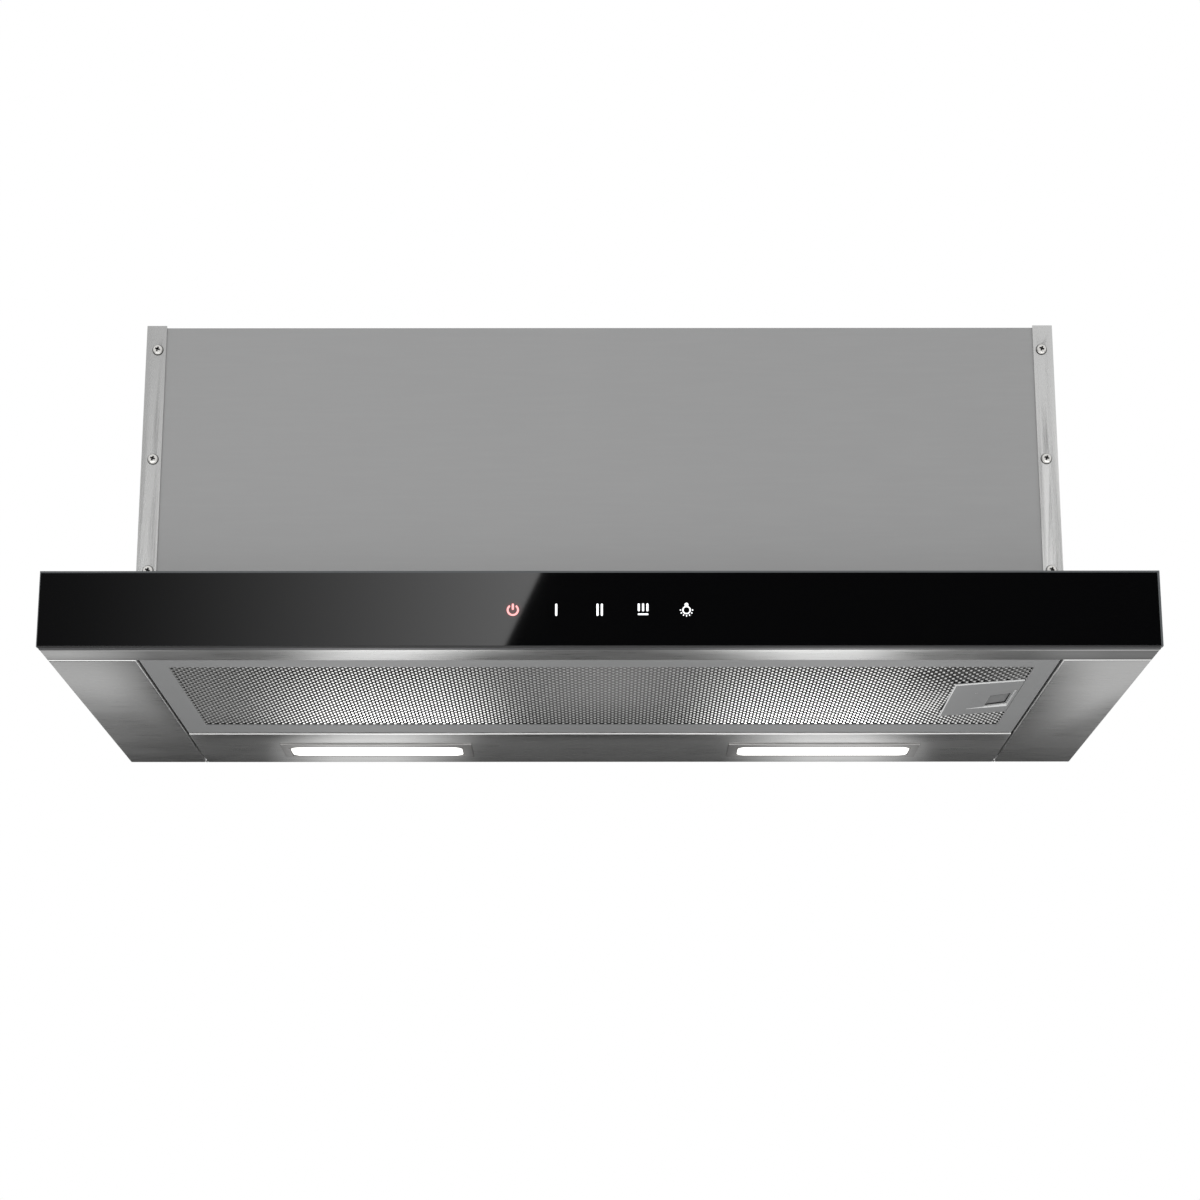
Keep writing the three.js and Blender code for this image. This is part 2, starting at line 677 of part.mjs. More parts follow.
function motorBracket(x0) {
  const arms = [0, 1, 2].flatMap((arm) => {
    const length = bracketReach;
    const bar = new THREE.BoxGeometry(bracketThickness, length, bracketArm);
    bar.translate(x0 + bracketThickness / 2, length / 2, 0);
    const footStart = cheekOuter + seatGap;
    const foot = new THREE.BoxGeometry(x0 + bracketThickness - footStart, bracketFoot, bracketArm);
    foot.translate((x0 + bracketThickness + footStart) / 2, bracketReach - bracketFoot / 2, 0);
    return [bar, foot].map((geometry) => geometry.rotateX((2 * Math.PI * arm) / 3)
      .translate(0, back(axisDepth), up(axisHeight)));
  });
  const boss = barRound(bracketArm, x0, x0 + bracketThickness, axisDepth, axisHeight);
  return piece('motor_bracket', join(boss, ...arms), finish.zinc);
}

// ---------------------------------------------------------------- outlet
const collarDepth = axisDepth + collarOffset;

// A ring of points from the scroll's rectangular mouth (share 0) to the round collar (share 1).
function ductRing(offset, share, height) {
  const steps = 40;
  const middle = axisDepth + (cutOffY + scrollEnd) / 2;
  const halfX = cheekInner + offset;
  const halfY = (scrollEnd - cutOffY) / 2 + offset;
  return Array.from({ length: steps }, (_, step) => {
    const angle = (2 * Math.PI * (step + 0.5)) / steps;
    const reach = Math.min(halfX / Math.abs(Math.cos(angle)), halfY / Math.abs(Math.sin(angle)));
    const square = [reach * Math.cos(angle), middle + reach * Math.sin(angle)];
    const radius = outletHoleRadius + offset;
    const round = [radius * Math.cos(angle), collarDepth + radius * Math.sin(angle)];
    const x = square[0] + (round[0] - square[0]) * share;
    const y = square[1] + (round[1] - square[1]) * share;
    return [x, back(y), up(height)];
  });
}

function transitionDuct() {
  const foot = axisHeight + outletRise;
  const rings = [
    ductRing(scrollWall, 0, foot), ductRing(scrollWall, 1, topSheetFoot),
    ductRing(0, 1, topSheetFoot), ductRing(0, 0, foot),
  ];
  const count = rings[0].length;
  const faces = rings.flatMap((_, ring) => Array.from({ length: count }, (_, step) => {
    const next = (step + 1) % count;
    const a = ring * count + step;
    const b = ring * count + next;
    const c = ((ring + 1) % rings.length) * count + next;
    const d = ((ring + 1) % rings.length) * count + step;
    return [a, b, c, a, c, d];
  })).flat();
  const geometry = new THREE.BufferGeometry();
  geometry.setAttribute('position', new THREE.Float32BufferAttribute(rings.flat(2), 3));
  geometry.setIndex(faces);
  geometry.computeVertexNormals();
  return piece('transition_duct', geometry, finish.zinc);
}

const ledgeTop = topSheetTop + ledgeHeight + ledgeThickness;
const flapFoot = ledgeTop + seatGap;
const pinHeight = flapFoot + flapThickness / 2;
const collarInner = collarRadius - collarWall;

function outletCollar() {
  const foot = topSheetTop;
  const ring = turned([
    [collarInner, foot], [collarRadius + collarFlange, foot],
    [collarRadius + collarFlange, foot + collarFlangeThickness],
    [collarRadius, foot + collarFlangeThickness], [collarRadius, foot + collarHeight],
    [collarInner, foot + collarHeight], [collarInner, ledgeTop],
    [collarInner - ledgeWidth, ledgeTop], [collarInner - ledgeWidth, ledgeTop - ledgeThickness],
    [collarInner, ledgeTop - ledgeThickness],
  ], 0, collarDepth, 48);
  const hole = barRound(pinRadius + seatGap, -2 * collarRadius, 2 * collarRadius, collarDepth, pinHeight, 12);
  return piece('outlet_collar', cut(ring, hole), finish.blackPlastic);
}

function damperPin() {
  const pin = barRound(pinRadius, -collarRadius, collarRadius, collarDepth, pinHeight, 12);
  return piece('damper_pin', pin, finish.steel);
}

function damperFlap(name, direction) {
  const radius = collarInner - flapGap;
  const edge = pinRadius + pinClearance;
  const start = Math.asin(edge / radius);
  const steps = 24;
  const points = Array.from({ length: steps + 1 }, (_, step) => {
    const angle = start + (Math.PI - 2 * start) * (step / steps);
    return [radius * Math.cos(angle), direction * radius * Math.sin(angle) + back(collarDepth)];
  });
  return piece(`damper_flap_${name}`, plate(points, flapFoot, flapFoot + flapThickness), finish.blackPlastic);
}

// ---------------------------------------------------------------- electrics
const controlBoxFront = drawerFrontDepth + controlBoxInset;

function controlBox() {
  const x0 = -(sideInner - seatGap);
  const depth1 = controlBoxFront + controlBoxDepth;
  const top = controlBoxLift + controlBoxHeight;
  const wall = controlBoxWall;
  const block = box(x0, x0 + controlBoxWidth, controlBoxFront, depth1, controlBoxLift, top);
  const hollow = box(x0 + wall, x0 + controlBoxWidth + wall,
    controlBoxFront + wall, depth1 - wall, controlBoxLift + wall, top - wall);
  const inset = wall + seatGap;
  const board = box(x0 + controlBoardInset, x0 + controlBoardInset + boardThickness,
    controlBoxFront + inset, depth1 - inset, controlBoxLift + inset, top - inset);
  return [
    piece('control_box', cut(block, hollow), finish.greyPlastic),
    piece('control_board', board, finish.circuit),
  ];
}

function runCapacitor() {
  const x = sideInner - 2 * seatGap - sheet - capacitorRadius - seatGap;
  const can = new THREE.CylinderGeometry(capacitorRadius, capacitorRadius, capacitorLength, 24);
  const middle = drawerFrontDepth + capacitorInset + capacitorLength / 2;
  can.translate(x, back(middle), up(intakeTop + seatGap + capacitorRadius));
  return piece('run_capacitor', can, finish.whitePlastic);
}

function cableGland() {
  const nut = 5;
  const cap = glandRadius - 2;
  const gland = turned([
    [glandBore, topSheetFoot - nut], [glandStem, topSheetFoot - nut], [glandStem, topSheetTop],
    [glandRadius, topSheetTop], [glandRadius, topSheetTop + 0.6 * glandHeight],
    [cap, topSheetTop + 0.6 * glandHeight], [cap, topSheetTop + glandHeight],
    [glandBore, topSheetTop + glandHeight],
  ], glandX, glandDepth, 24);
  return piece('cable_gland', gland, finish.greyPlastic);
}

// ---------------------------------------------------------------- drawer
function lightWindow(depth0, depth1) {
  return box(-windowWidth / 2, windowWidth / 2, depth0, depth1,
    touchHeight - windowHeight / 2, touchHeight + windowHeight / 2);
}

function drawerFront() {
  const backHalf = halfWidth - backingInset;
  const glass = box(-halfWidth, halfWidth, 0, glassThickness, 0, glassHeight);
  const backingTop = glassHeight - backingFoot;
  const backing = box(-backHalf, backHalf, glassThickness, channelFront, backingFoot, backingTop);
  const boardX = windowWidth / 2 + boardMargin;
  const boardZ = windowHeight / 2 + boardMargin;
  const board = box(-boardX, boardX, channelFront + sheet, channelFront + sheet + boardThickness,
    touchHeight - boardZ, touchHeight + boardZ);
  return [
    piece('glass_panel', glass, finish.glass),
    piece('glass_backing', cut(backing, lightWindow(0, drawerFrontDepth)), finish.blackPlastic),
    frontChannel(),
    piece('touch_board', board, finish.circuit),
  ];
}

function frontChannel() {
  const half = halfWidth - channelSideInset;
  const mouth = drawerHalf + sheet / 2;
  const block = box(-half, half, channelFront, channelBack, channelFoot, channelTop);
  const hollow = box(-(half - sheet), half - sheet, channelFront + sheet, channelBack - sheet,
    channelFoot + sheet, channelTop - sheet);
  const opening = box(-mouth, mouth, channelBack - 2 * sheet, channelBack + sheet,
    channelFoot + sheet, channelTop - sheet);
  const window = lightWindow(0, channelFront + 2 * sheet);
  return piece('front_channel', cut(block, hollow, opening, window), finish.steel);
}

function drawerSide(name, side) {
  const front = channelFront + sheet;
  const rear = closedDepth - runnerRearInset;
  const x = side > 0 ? drawerHalf - sheet : -drawerHalf;
  const outline = [
    [front, channelFoot + sheet], [channelBack, channelFoot + sheet], [channelBack, seatTop],
    [latchTopFront - latchClearance, seatTop], [latchTopFront - latchClearance, runnerFoot],
    [latchTopBack + latchClearance, runnerFoot], [latchTopBack + latchClearance, seatTop],
    [filterBack, seatTop], [filterBack, runnerFoot], [rear, runnerFoot],
    [rear, visorFoot], [front, visorFoot],
  ];
  return piece(`drawer_side_${name}`, barAlongX(outline, x, x + sheet), finish.zinc);
}

const latchTopFront = latchFront + sliderFront;
const latchTopBack = latchTopFront + sliderWidth;
const hookTip = seatHalf - hookReach; // with the latch drawn clear of the keeper

function filterSeat() {
  const inner = seatHalf - seatBorder;
  const wide = box(-seatHalf, seatHalf, channelBack, filterBack, seatFoot, seatTop);
  const tongue = box(-(drawerHalf - sheet - seatGap), drawerHalf - sheet - seatGap,
    channelFront + sheet + boardThickness + seatGap, channelBack + sheet, seatFoot, seatTop);
  const opening = box(-inner, inner, openFront, openBack, 0, bodyHeight);
  const slot = box(inner - sheet, hookTip + seatGap,
    latchTopFront - latchClearance, latchTopBack + latchClearance, 0, bodyHeight);
  return piece('filter_seat', cut(join(wide, tongue), opening, slot), finish.zinc);
}

function drawerTop() {
  const visor = box(-drawerHalf, drawerHalf, channelFront + sheet, filterBack, visorFoot, visorTop);
  const rear = closedDepth - runnerRearInset;
  const half = drawerHalf - sheet;
  const tie = barAlongX([
    [rear - tieDepth, visorFoot - sheet], [rear - sheet, visorFoot - sheet],
    [rear - sheet, visorFoot - tieHeight],
    [rear, visorFoot - tieHeight], [rear, visorFoot], [rear - tieDepth, visorFoot],
  ], -half, half);
  return [piece('visor_top', visor, finish.steel), piece('drawer_rear_tie', tie, finish.zinc)];
}

function drawer() {
  return group(
    drawerFront(),
    sides.map(([name, side]) => drawerSide(name, side)),
    sides.map(([name, side]) => innerRunner(name, side)),
    filterSeat(),
    drawerTop(),
  );
}

// ---------------------------------------------------------------- front filter
const meshPocket = {
  left: openLeft - filterLipWidth,
  right: openRight + filterLipWidth,
  front: openFront - filterLipWidth,
  back: openBack + filterLipWidth,
};

function filterFrame() {
  const block = box(-filterHalf, filterHalf, filterFront, filterBack, filterFoot, filterTop);
  const field = box(openLeft, openRight, openFront, openBack, 0, bodyHeight);
  const pocket = box(meshPocket.left, meshPocket.right, meshPocket.front, meshPocket.back,
    filterFoot + filterLip, bodyHeight);
  const slot = box(openRight - sheet, hookTip + latchClearance,
    latchTopFront - latchClearance, latchTopBack + latchClearance,
    filterFoot + sliderLift - seatGap, bodyHeight);
  return piece('filter_frame', cut(block, field, pocket, slot), finish.aluminium);
}

function latchClearing() {
  return box(latchLeft - latchMargin, filterHalf, latchFront - latchMargin,
    latchFront + latchDepth + latchMargin, 0, bodyHeight);
}

// The flat net of the lower cover: diamond gaps in staggered rows.
function filterMesh() {
  const area = {
    left: meshPocket.left + seatGap,
    right: meshPocket.right - seatGap,
    front: back(meshPocket.front + seatGap),
    back: back(meshPocket.back - seatGap),
  };
  const pitchX = (area.right - area.left) / (netColumns + 0.5);
  const pitchY = (area.back - area.front) / (netRows + 1);
  const outline = [
    [area.left, area.front], [area.right, area.front], [area.right, area.back], [area.left, area.back],
  ];
  const shape = new THREE.Shape(outline.map(([x, y]) => new THREE.Vector2(x, y)));
  for (let row = 0; row < netRows; row += 1) {
    for (let column = 0; column < netColumns; column += 1) {
      const x = area.left + pitchX * (column + (row % 2 ? 1 : 0.5));
      const y = area.front + pitchY * (row + 1);
      if (clearOfLatch(x, y, pitchX / 2, pitchY)) {
        shape.holes.push(diamond(x, y, (pitchX - netStrand) / 2, netDiamondShare * pitchY));
      }
    }
  }
  const foot = filterFoot + filterLip;
  const net = new THREE.ExtrudeGeometry(shape, { depth: meshThickness, bevelEnabled: false });
  net.translate(0, 0, up(foot));
  return piece('filter_mesh', cut(net, latchClearing()), finish.aluminium);
}

function diamond(x, y, halfX, halfY) {
  const corners = [[x - halfX, y], [x, y + halfY], [x + halfX, y], [x, y - halfY]];
  return new THREE.Path(corners.map(([cornerX, cornerY]) => new THREE.Vector2(cornerX, cornerY)));
}

function clearOfLatch(x, y, reachX, reachY) {
  const beside = x + reachX < latchLeft - latchMargin;
  const before = y + reachY < back(latchFront - latchMargin);
  const behind = y - reachY > back(latchFront + latchDepth + latchMargin);
  return beside || before || behind;
}

function filterLayers() {
  const foot = filterFoot + filterLip + meshThickness + seatGap;
  const block = box(meshPocket.left + seatGap, meshPocket.right - seatGap,
    meshPocket.front + seatGap, meshPocket.back - seatGap, foot, filterTop - layersTopInset);
  return piece('filter_layers', cut(block, latchClearing()), finish.aluminium);
}

function latchPlate() {
  const right = openRight - seatGap;
  const foot = filterFoot;
  const plateBar = barAlongY([
    [latchLeft, foot - latchDrop], [right, foot],
    [right, foot + latchPlateThickness], [latchLeft, foot - latchDrop + latchPlateThickness],
  ], latchFront, latchFront + latchDepth);
  const pocketRight = openRight - pocketRightInset;
  const pocket = box(pocketRight - pocketWidth, pocketRight,
    latchFront + pocketFront, latchFront + pocketFront + pocketDepth, -latchDrop - foot, filterTop);
  const railTop = filterTop - layersTopInset;
  const rails = [latchFront, latchFront + latchDepth - sheet].map((depth) =>
    box(latchLeft + sheet, right, depth, depth + sheet, foot, railTop));
  const roofRight = hookTip - hookReach - riserThickness - latchStroke - seatGap;
  const latchBack = latchFront + latchDepth;
  const roof = box(latchLeft + sheet, roofRight, latchFront, latchBack, railTop - sheet, railTop);
  return piece('latch_plate', join(cut(plateBar, pocket), ...rails, roof), finish.aluminium);
}

function latchSlider() {
  const depth0 = latchTopFront;
  const depth1 = latchTopBack;
  const foot = filterFoot + sliderLift;
  const top = foot + sliderThickness;
  const riserRight = hookTip - hookReach;
  const tabX = openRight - pocketRightInset - riserThickness - tabThickness;
  const bar = box(tabX - tabThickness, riserRight, depth0, depth1, foot, top);
  const tab = box(tabX, tabX + tabThickness, depth0, depth1, foot - tabDrop, foot + sheet);
  const riser = box(riserRight - riserThickness, riserRight, depth0, depth1, foot, hookFoot + hookThickness);
  const hook = box(riserRight - riserThickness, hookTip, depth0, depth1, hookFoot, hookFoot + hookThickness);
  return piece('latch_slider', join(bar, tab, riser, hook), finish.aluminium);
}

function filterCassette() {
  return group(filterFrame(), filterMesh(), filterLayers(), latchPlate(), latchSlider());
}

// ---------------------------------------------------------------- assembly
function hoodBody() {
  return group(
    frontPanel(), backPanel(), topPanel(), panelScrews(),
    sides.map(([name, side]) => sidePanel(name, side)),
    sides.map(([name, side]) => wing(name, side)),
    sides.map(([name, side]) => outerRunner(name, side)),
    sides.map(([name, side]) => middleRunner(name, side)),
    lampPanel(),
    sides.flatMap(([name, side]) => lamp(name, side)),
    intakePlate(), rearFilter(), rearLatch(),
  );
}

function airPath() {
  const { fixed, wheel, shaft } = blower();
  return group(fixed, wheel, shaft, transitionDuct(), outletCollar(), damperPin(),
    damperFlap('front', -1), damperFlap('rear', 1));
}

function electrics() {
  return group(controlBox(), runCapacitor(), cableGland());
}

export default group(hoodBody(), airPath(), electrics(), drawer(), filterCassette());
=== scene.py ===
import json
import math

import bmesh
import bpy
from bpy.props import FloatProperty, FloatVectorProperty, PointerProperty
from mathutils import Matrix, Vector

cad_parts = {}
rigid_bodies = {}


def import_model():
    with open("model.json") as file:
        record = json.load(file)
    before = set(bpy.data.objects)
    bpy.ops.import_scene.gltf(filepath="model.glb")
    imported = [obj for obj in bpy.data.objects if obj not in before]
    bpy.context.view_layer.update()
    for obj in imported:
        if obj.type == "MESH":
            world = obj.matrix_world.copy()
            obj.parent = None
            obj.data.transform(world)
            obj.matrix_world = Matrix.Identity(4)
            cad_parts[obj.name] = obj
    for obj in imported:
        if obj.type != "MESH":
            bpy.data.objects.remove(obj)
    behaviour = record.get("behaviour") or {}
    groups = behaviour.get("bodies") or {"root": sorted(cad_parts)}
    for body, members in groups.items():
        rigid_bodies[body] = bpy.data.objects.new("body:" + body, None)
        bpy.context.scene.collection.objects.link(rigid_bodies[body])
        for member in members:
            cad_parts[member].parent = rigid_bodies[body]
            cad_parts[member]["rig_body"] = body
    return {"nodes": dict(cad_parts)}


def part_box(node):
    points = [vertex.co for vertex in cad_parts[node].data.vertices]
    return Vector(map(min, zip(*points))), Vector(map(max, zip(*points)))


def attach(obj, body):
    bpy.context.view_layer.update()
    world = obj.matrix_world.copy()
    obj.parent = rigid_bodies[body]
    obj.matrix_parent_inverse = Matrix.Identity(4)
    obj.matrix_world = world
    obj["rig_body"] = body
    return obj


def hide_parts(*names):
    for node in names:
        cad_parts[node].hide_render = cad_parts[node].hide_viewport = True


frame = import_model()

bl_info = {
    "name": "Pull-out range hood",
    "version": (1, 0, 0),
    "blender": (4, 5, 0),
    "location": "View3D > Sidebar > Range Hood",
    "description": "Steel, glass, mesh and lamps of a pull-out range hood, around its packed solids",
    "category": "Object",
}

SIDES = ("left", "right")
NEAR = 0.0002  # how close to a side of its box a point still lies on that side, in metres
FLAT = math.radians(0.4)  # faces that meet at less than this are one flat face
PANE_SET_BACK = 0.0001  # from the front of the CAD pane to the front of the finished one
GROUND_DEPTH = 0.0006  # how far back the pane's ground front edges run
BLACK = (0.0, 0.0, 0.0)


# ------------------------------------------------------------------ node trees
class Wire:
    """An output of a node tree. Arithmetic on it adds Math nodes."""

    def __init__(self, tree, socket):
        self.tree = tree
        self.socket = socket

    def sum(self, operation, *values, clamp=False):
        settings = {"operation": operation, "use_clamp": clamp}
        return self.tree.add("ShaderNodeMath", settings, dict(enumerate(values)))

    def __add__(self, other):
        return self.sum("ADD", self, other)

    def __sub__(self, other):
        return self.sum("SUBTRACT", self, other)

    def __rsub__(self, other):
        return self.sum("SUBTRACT", other, self)

    def __mul__(self, other):
        return self.sum("MULTIPLY", self, other)

    def __truediv__(self, other):
        return self.sum("DIVIDE", self, other)

    def __pow__(self, power):
        return self.sum("POWER", self, power)

    def __abs__(self):
        return self.sum("ABSOLUTE", self)

    def __gt__(self, edge):
        return self.sum("GREATER_THAN", self, edge)

    def __lt__(self, edge):
        return self.sum("LESS_THAN", self, edge)

    def larger(self, other):
        return self.sum("MAXIMUM", self, other)

    def clamped(self):
        return self.sum("ADD", self, 0.0, clamp=True)

    def risen(self, start, length):
        """0 up to a start and 1 from a length beyond it; a negative length looks the other way."""
        return ((self - start) / length).clamped()

    __radd__ = __add__
    __rmul__ = __mul__


class Tree:
    """A node tree that is filled through one method."""

    def __init__(self, tree):
        self.tree = tree

    def add(self, kind, settings=None, values=None, output=0):
        """A new node with its settings and then its sockets set; gives one of its outputs."""
        node = self.tree.nodes.new(kind)
        for key, value in (settings or {}).items():
            if key == "stops":
                for index, (place, shade) in enumerate(value):
                    stops = node.color_ramp.elements
                    stop = stops[index] if index < len(stops) else stops.new(place)
                    stop.position = place
                    stop.color = (shade, shade, shade, 1)
            else:
                setattr(node, key, value)
        for key, value in (values or {}).items():
            if isinstance(value, Wire):
                self.tree.links.new(value.socket, node.inputs[key])
            else:
                node.inputs[key].default_value = value
        return Wire(self, node.outputs[output]) if node.outputs else None


class Finish(Tree):
    """A surface finish on a Principled shader, patterned by place on the hood."""

    def __init__(self, name, base, roughness, metallic=0.0, **constants):
        self.material = bpy.data.materials.new(name)
        self.material.use_nodes = True
        super().__init__(self.material.node_tree)
        self.tree.nodes.clear()
        end = self.tree.nodes.new("ShaderNodeOutputMaterial")
        self.shader = self.tree.nodes.new("ShaderNodeBsdfPrincipled")
        self.tree.links.new(self.shader.outputs[0], end.inputs["Surface"])
        self.put(Base_Color=(*base, 1), Roughness=roughness, Metallic=metallic, **constants)
        self.place = self.add("ShaderNodeTexCoord", output=3)

    def put(self, **values):
        for key, value in values.items():
            socket = self.shader.inputs[key.replace("_", " ")]
            if isinstance(value, Wire):
                self.tree.links.new(value.socket, socket)
            else:
                socket.default_value = value

    def attribute(self, name):
        return self.add("ShaderNodeAttribute", {"attribute_name": name}, output="Fac")

    def stretched(self, scale):
        return self.add("ShaderNodeMapping", None, {"Vector": self.place, "Scale": scale})

    def axis(self, index):
        return self.add("ShaderNodeSeparateXYZ", None, {0: self.place}, output=index)

    def noise(self, scale, detail=2.0, rough=0.5):
        values = {"Vector": self.stretched(scale), "Scale": 1.0, "Detail": detail, "Roughness": rough}
        return self.add("ShaderNodeTexNoise", {"noise_dimensions": "3D"}, values)

    def cells(self, scale, feature="F1", output=0):
        values = {"Vector": self.stretched(scale), "Scale": 1.0}
        return self.add("ShaderNodeTexVoronoi", {"feature": feature}, values, output)

    def ramp(self, value, *stops):
        return self.add("ShaderNodeValToRGB", {"stops": stops}, {0: value})

    def tint(self, factor, *ends):
        """A colour between two ends, each of them a colour or a wire."""
        first, second = ((*end, 1) if isinstance(end, tuple) else end for end in ends)
        return self.add("ShaderNodeMix", {"data_type": "RGBA"}, {0: factor, 6: first, 7: second}, output=2)

    def dressed(self, colour, rough, height=None, depth=0.0, strength=1.0):
        """The material, with its colour, roughness and relief set."""
        self.put(Base_Color=colour, Roughness=rough)
        if height:
            self.put(Normal=self.add("ShaderNodeBump", None, {
                "Height": height, "Distance": depth, "Strength": strength}))
        return self.material


def shade(colour, factor):
    return tuple(min(1.0, channel * factor) for channel in colour)


def shades(colour, *factors):
    return [shade(colour, factor) for factor in factors]


def colours():
    return bpy.context.scene.hood_colours


def sizes():
    return bpy.context.scene.hood_sizes


# ------------------------------------------------------------------ finishes
def brushed(name, base, along, roughness=0.30, contrast=0.10, fleck=1500, painted_shade=None, bands=0.5, painted_shade_level=0.4):
    """Brushed sheet: fine broken lines along one axis, slow bands across them, and painted shade where a mask is
    given.
    """
    fine_scale, slow_scale = [fleck] * 3, [60] * 3
    fine_scale[along], slow_scale[along] = 38, 5
    steel = Finish(name, base, roughness, 1.0)
    fine = steel.noise(fine_scale, 3.0, 0.6)
    slow = steel.noise(slow_scale)
    mixed = ((fine - 0.5) * 1.6 + (slow - 0.5) * bands + 0.5).clamped()
    colour = steel.tint(mixed, *shades(base, 1 - contrast, 1 + contrast))
    # painted shade: where the mask rises, the colour darkens towards a share of the base
    if painted_shade:
        colour = steel.tint(painted_shade(steel), colour, shade(base, painted_shade_level))
    return steel.dressed(colour, mixed * 0.14 + (roughness - 0.07), fine, 0.00008, 0.35 if bands > 0.2 else 0.15)


def grained(name, base, metallic, scale, detail, ends, rough, relief, cloud=0.0, mark=None):
    """A fine grain in tone, roughness and relief, clouded by a share, under a marked face's colour, used for
    painted shade on screws and a painted highlight on bent aluminium.
    """
    finish = Finish(name, base, rough[1], metallic)
    grain = finish.noise(scale, detail, 0.6)
    mixed = grain * (1 - cloud) + finish.noise([24] * 3) * cloud if cloud else grain
    colour = finish.tint(mixed, *ends)
    if mark:
        colour = finish.tint(finish.attribute(mark[0]), colour, mark[1])
    return finish.dressed(colour, mixed * rough[0] + rough[1], grain, *relief)


def steel_across():
    return brushed("Brushed_steel_across", tuple(colours().steel), 0, contrast=0.15)


def lip_steel():
    """The lip under the glass: as the wings, but darkened by painted shade towards its ends behind the fold, most
    at the right.
    """
    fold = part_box("front_channel")[0].y + sizes().lip_radius

    # painted shade mask: rises towards both ends behind the fold, most at the right
    def painted_shade(steel):
        x = steel.axis(0)
        right = x.risen(0.2, 0.03) * 0.77 + x.risen(0.245, 0.03) * 0.23
        left = x.risen(-0.211, -0.03) * x.risen(-0.285, 0.05) * 0.8
        return right.larger(left) * steel.axis(1).risen(fold, 0.0015)

    return brushed("Brushed_steel_lip", tuple(colours().steel), 0, contrast=0.15, painted_shade=painted_shade, painted_shade_level=0.15)


def steel_upright():
    """The side flanges: darkened by painted shade towards the top, and a little at the left."""
    def painted_shade(steel):
        # painted shade mask: rises with height, with more at the left
        height = steel.axis(2).risen(0.02, 0.12)
        return height * 0.43 + (steel.axis(0) < 0.0) * (0.39 - height * 0.13)

    return brushed("Brushed_steel_upright", tuple(colours().flange), 2, 0.26, 0.05, 2600, painted_shade, 0.1)


def body_sheet():
    """The plain grey front sheet: satin, with short faint marks along its width."""
    base = tuple(colours().body)
    sheet = Finish("Satin_body_sheet", base, 0.42, 0.85)
    marks = sheet.noise((26, 500, 420), 3.0, 0.55)
    cloud = sheet.noise((7, 7, 9), 2.0, 0.5)
    worn = sheet.ramp(marks, (0.42, 0.0), (0.66, 1.0))
    colour = sheet.tint(worn * 0.7 + cloud * 0.3, *shades(base, 0.985, 1.015))
    return sheet.dressed(colour, worn * 0.03 + cloud * 0.03 + 0.38, marks, 0.00002, 0.15)


def zinc_sheet():
    """Galvanised sheet: flat crystals of slightly different grey."""
    base = tuple(colours().zinc)
    zinc = Finish("Galvanised_sheet", base, 0.38, 0.9)
    crystal = zinc.cells([190] * 3, output=1)
    tone = zinc.add("ShaderNodeSeparateColor", None, {0: crystal}, output=0)
    fine = zinc.noise([900] * 3, 2.0, 0.6)
    mixed = tone * 0.75 + fine * 0.25
    colour = zinc.tint(mixed, *shades(base, 0.86, 1.10))
    return zinc.dressed(colour, tone * 0.16 + fine * 0.06 + 0.27, mixed, 0.00003, 0.3)


def plated_steel():
    """Plated steel, with near black painted shade on marked faces: a screw's cross recess and the foot of its
    head.
    """
    base = (0.66, 0.65, 0.63)
    return grained("Plated_steel", base, 1.0, [1600] * 3, 3.0, shades(base, 0.82, 1.12), (0.2, 0.14),
                   (0.00004, 0.3), mark=("grime", (0.03, 0.03, 0.03)))


def filter_aluminium(name="Rolled_aluminium", share=1.0):
    """Rolled aluminium: even matt grey with a faint rolling grain, and a painted highlight where it is bent."""
    base = shade(tuple(colours().aluminium), share)
    return grained(name, base, 0.0, (1300, 90, 1300), 3.0, shades(base, 0.93, 1.08), (0.16, 0.50),
                   (0.00004, 0.25), 0.4, ("burnished", (0.72, 0.72, 0.71)))


def black_moulding():
    return grained("Black_moulding", (0.028, 0.028, 0.03), 0.0, [1100] * 3, 2.0,
                   ((0.02, 0.02, 0.022), (0.04, 0.04, 0.042)), (0.24, 0.38), (0.00012, 0.5))


def motor_casing():
    base = (0.40, 0.41, 0.42)
    return grained("Motor_casing", base, 0.9, (2200, 70, 70), 3.0, shades(base, 0.8, 1.15), (0.18, 0.27),
                   (0.00006, 0.3))


def mesh_aluminium():
    """The net's metal: its knuckles keep the full grey, its strands get painted shade, near black."""
    base = tuple(colours().mesh)
    strand = Finish("Expanded_aluminium", base, 0.22, 1.0)
    speck = strand.noise([420] * 3, 2.0, 0.6)
    # painted shade: strands fall to 6 percent of the grey, knuckles keep it
    tone = (strand.attribute("rolled_bright") * 0.94 + 0.06) * (speck * 0.4 + 0.8)
    return strand.dressed(strand.tint(tone, BLACK, base), speck * 0.16 + 0.14)


def filter_wool():
    """Layers of crimped aluminium inside a filter, their dark colour painted shade for lying behind its mesh;
    lighter along the crimp ridges.
    """
    wool = Finish("Crimped_layers", (0.09, 0.09, 0.088), 0.55, 0.7)
    folds = wool.cells((420, 260, 420), "DISTANCE_TO_EDGE")
    waves = wool.noise((230, 150, 230), 3.0, 0.6)
    ridge = wool.ramp(folds, (0.0, 1.0), (0.22, 0.0))
    colour = wool.tint(ridge * 0.6 + waves * 0.4, (0.015, 0.015, 0.015), (0.17, 0.168, 0.16))
    return wool.dressed(colour, waves * 0.3 + 0.4, ridge + waves, 0.0006, 0.8)


def pale_moulding(name, base):
    pale = Finish(name, base, 0.45)
    grain = pale.noise([900] * 3, 2.0, 0.6)
    cloud = pale.noise([30] * 3)
    colour = pale.tint(grain * 0.5 + cloud * 0.5, *shades(base, 0.93, 1.05))
    return pale.dressed(colour, grain * 0.2 + 0.36, grain, 0.0001, 0.4)


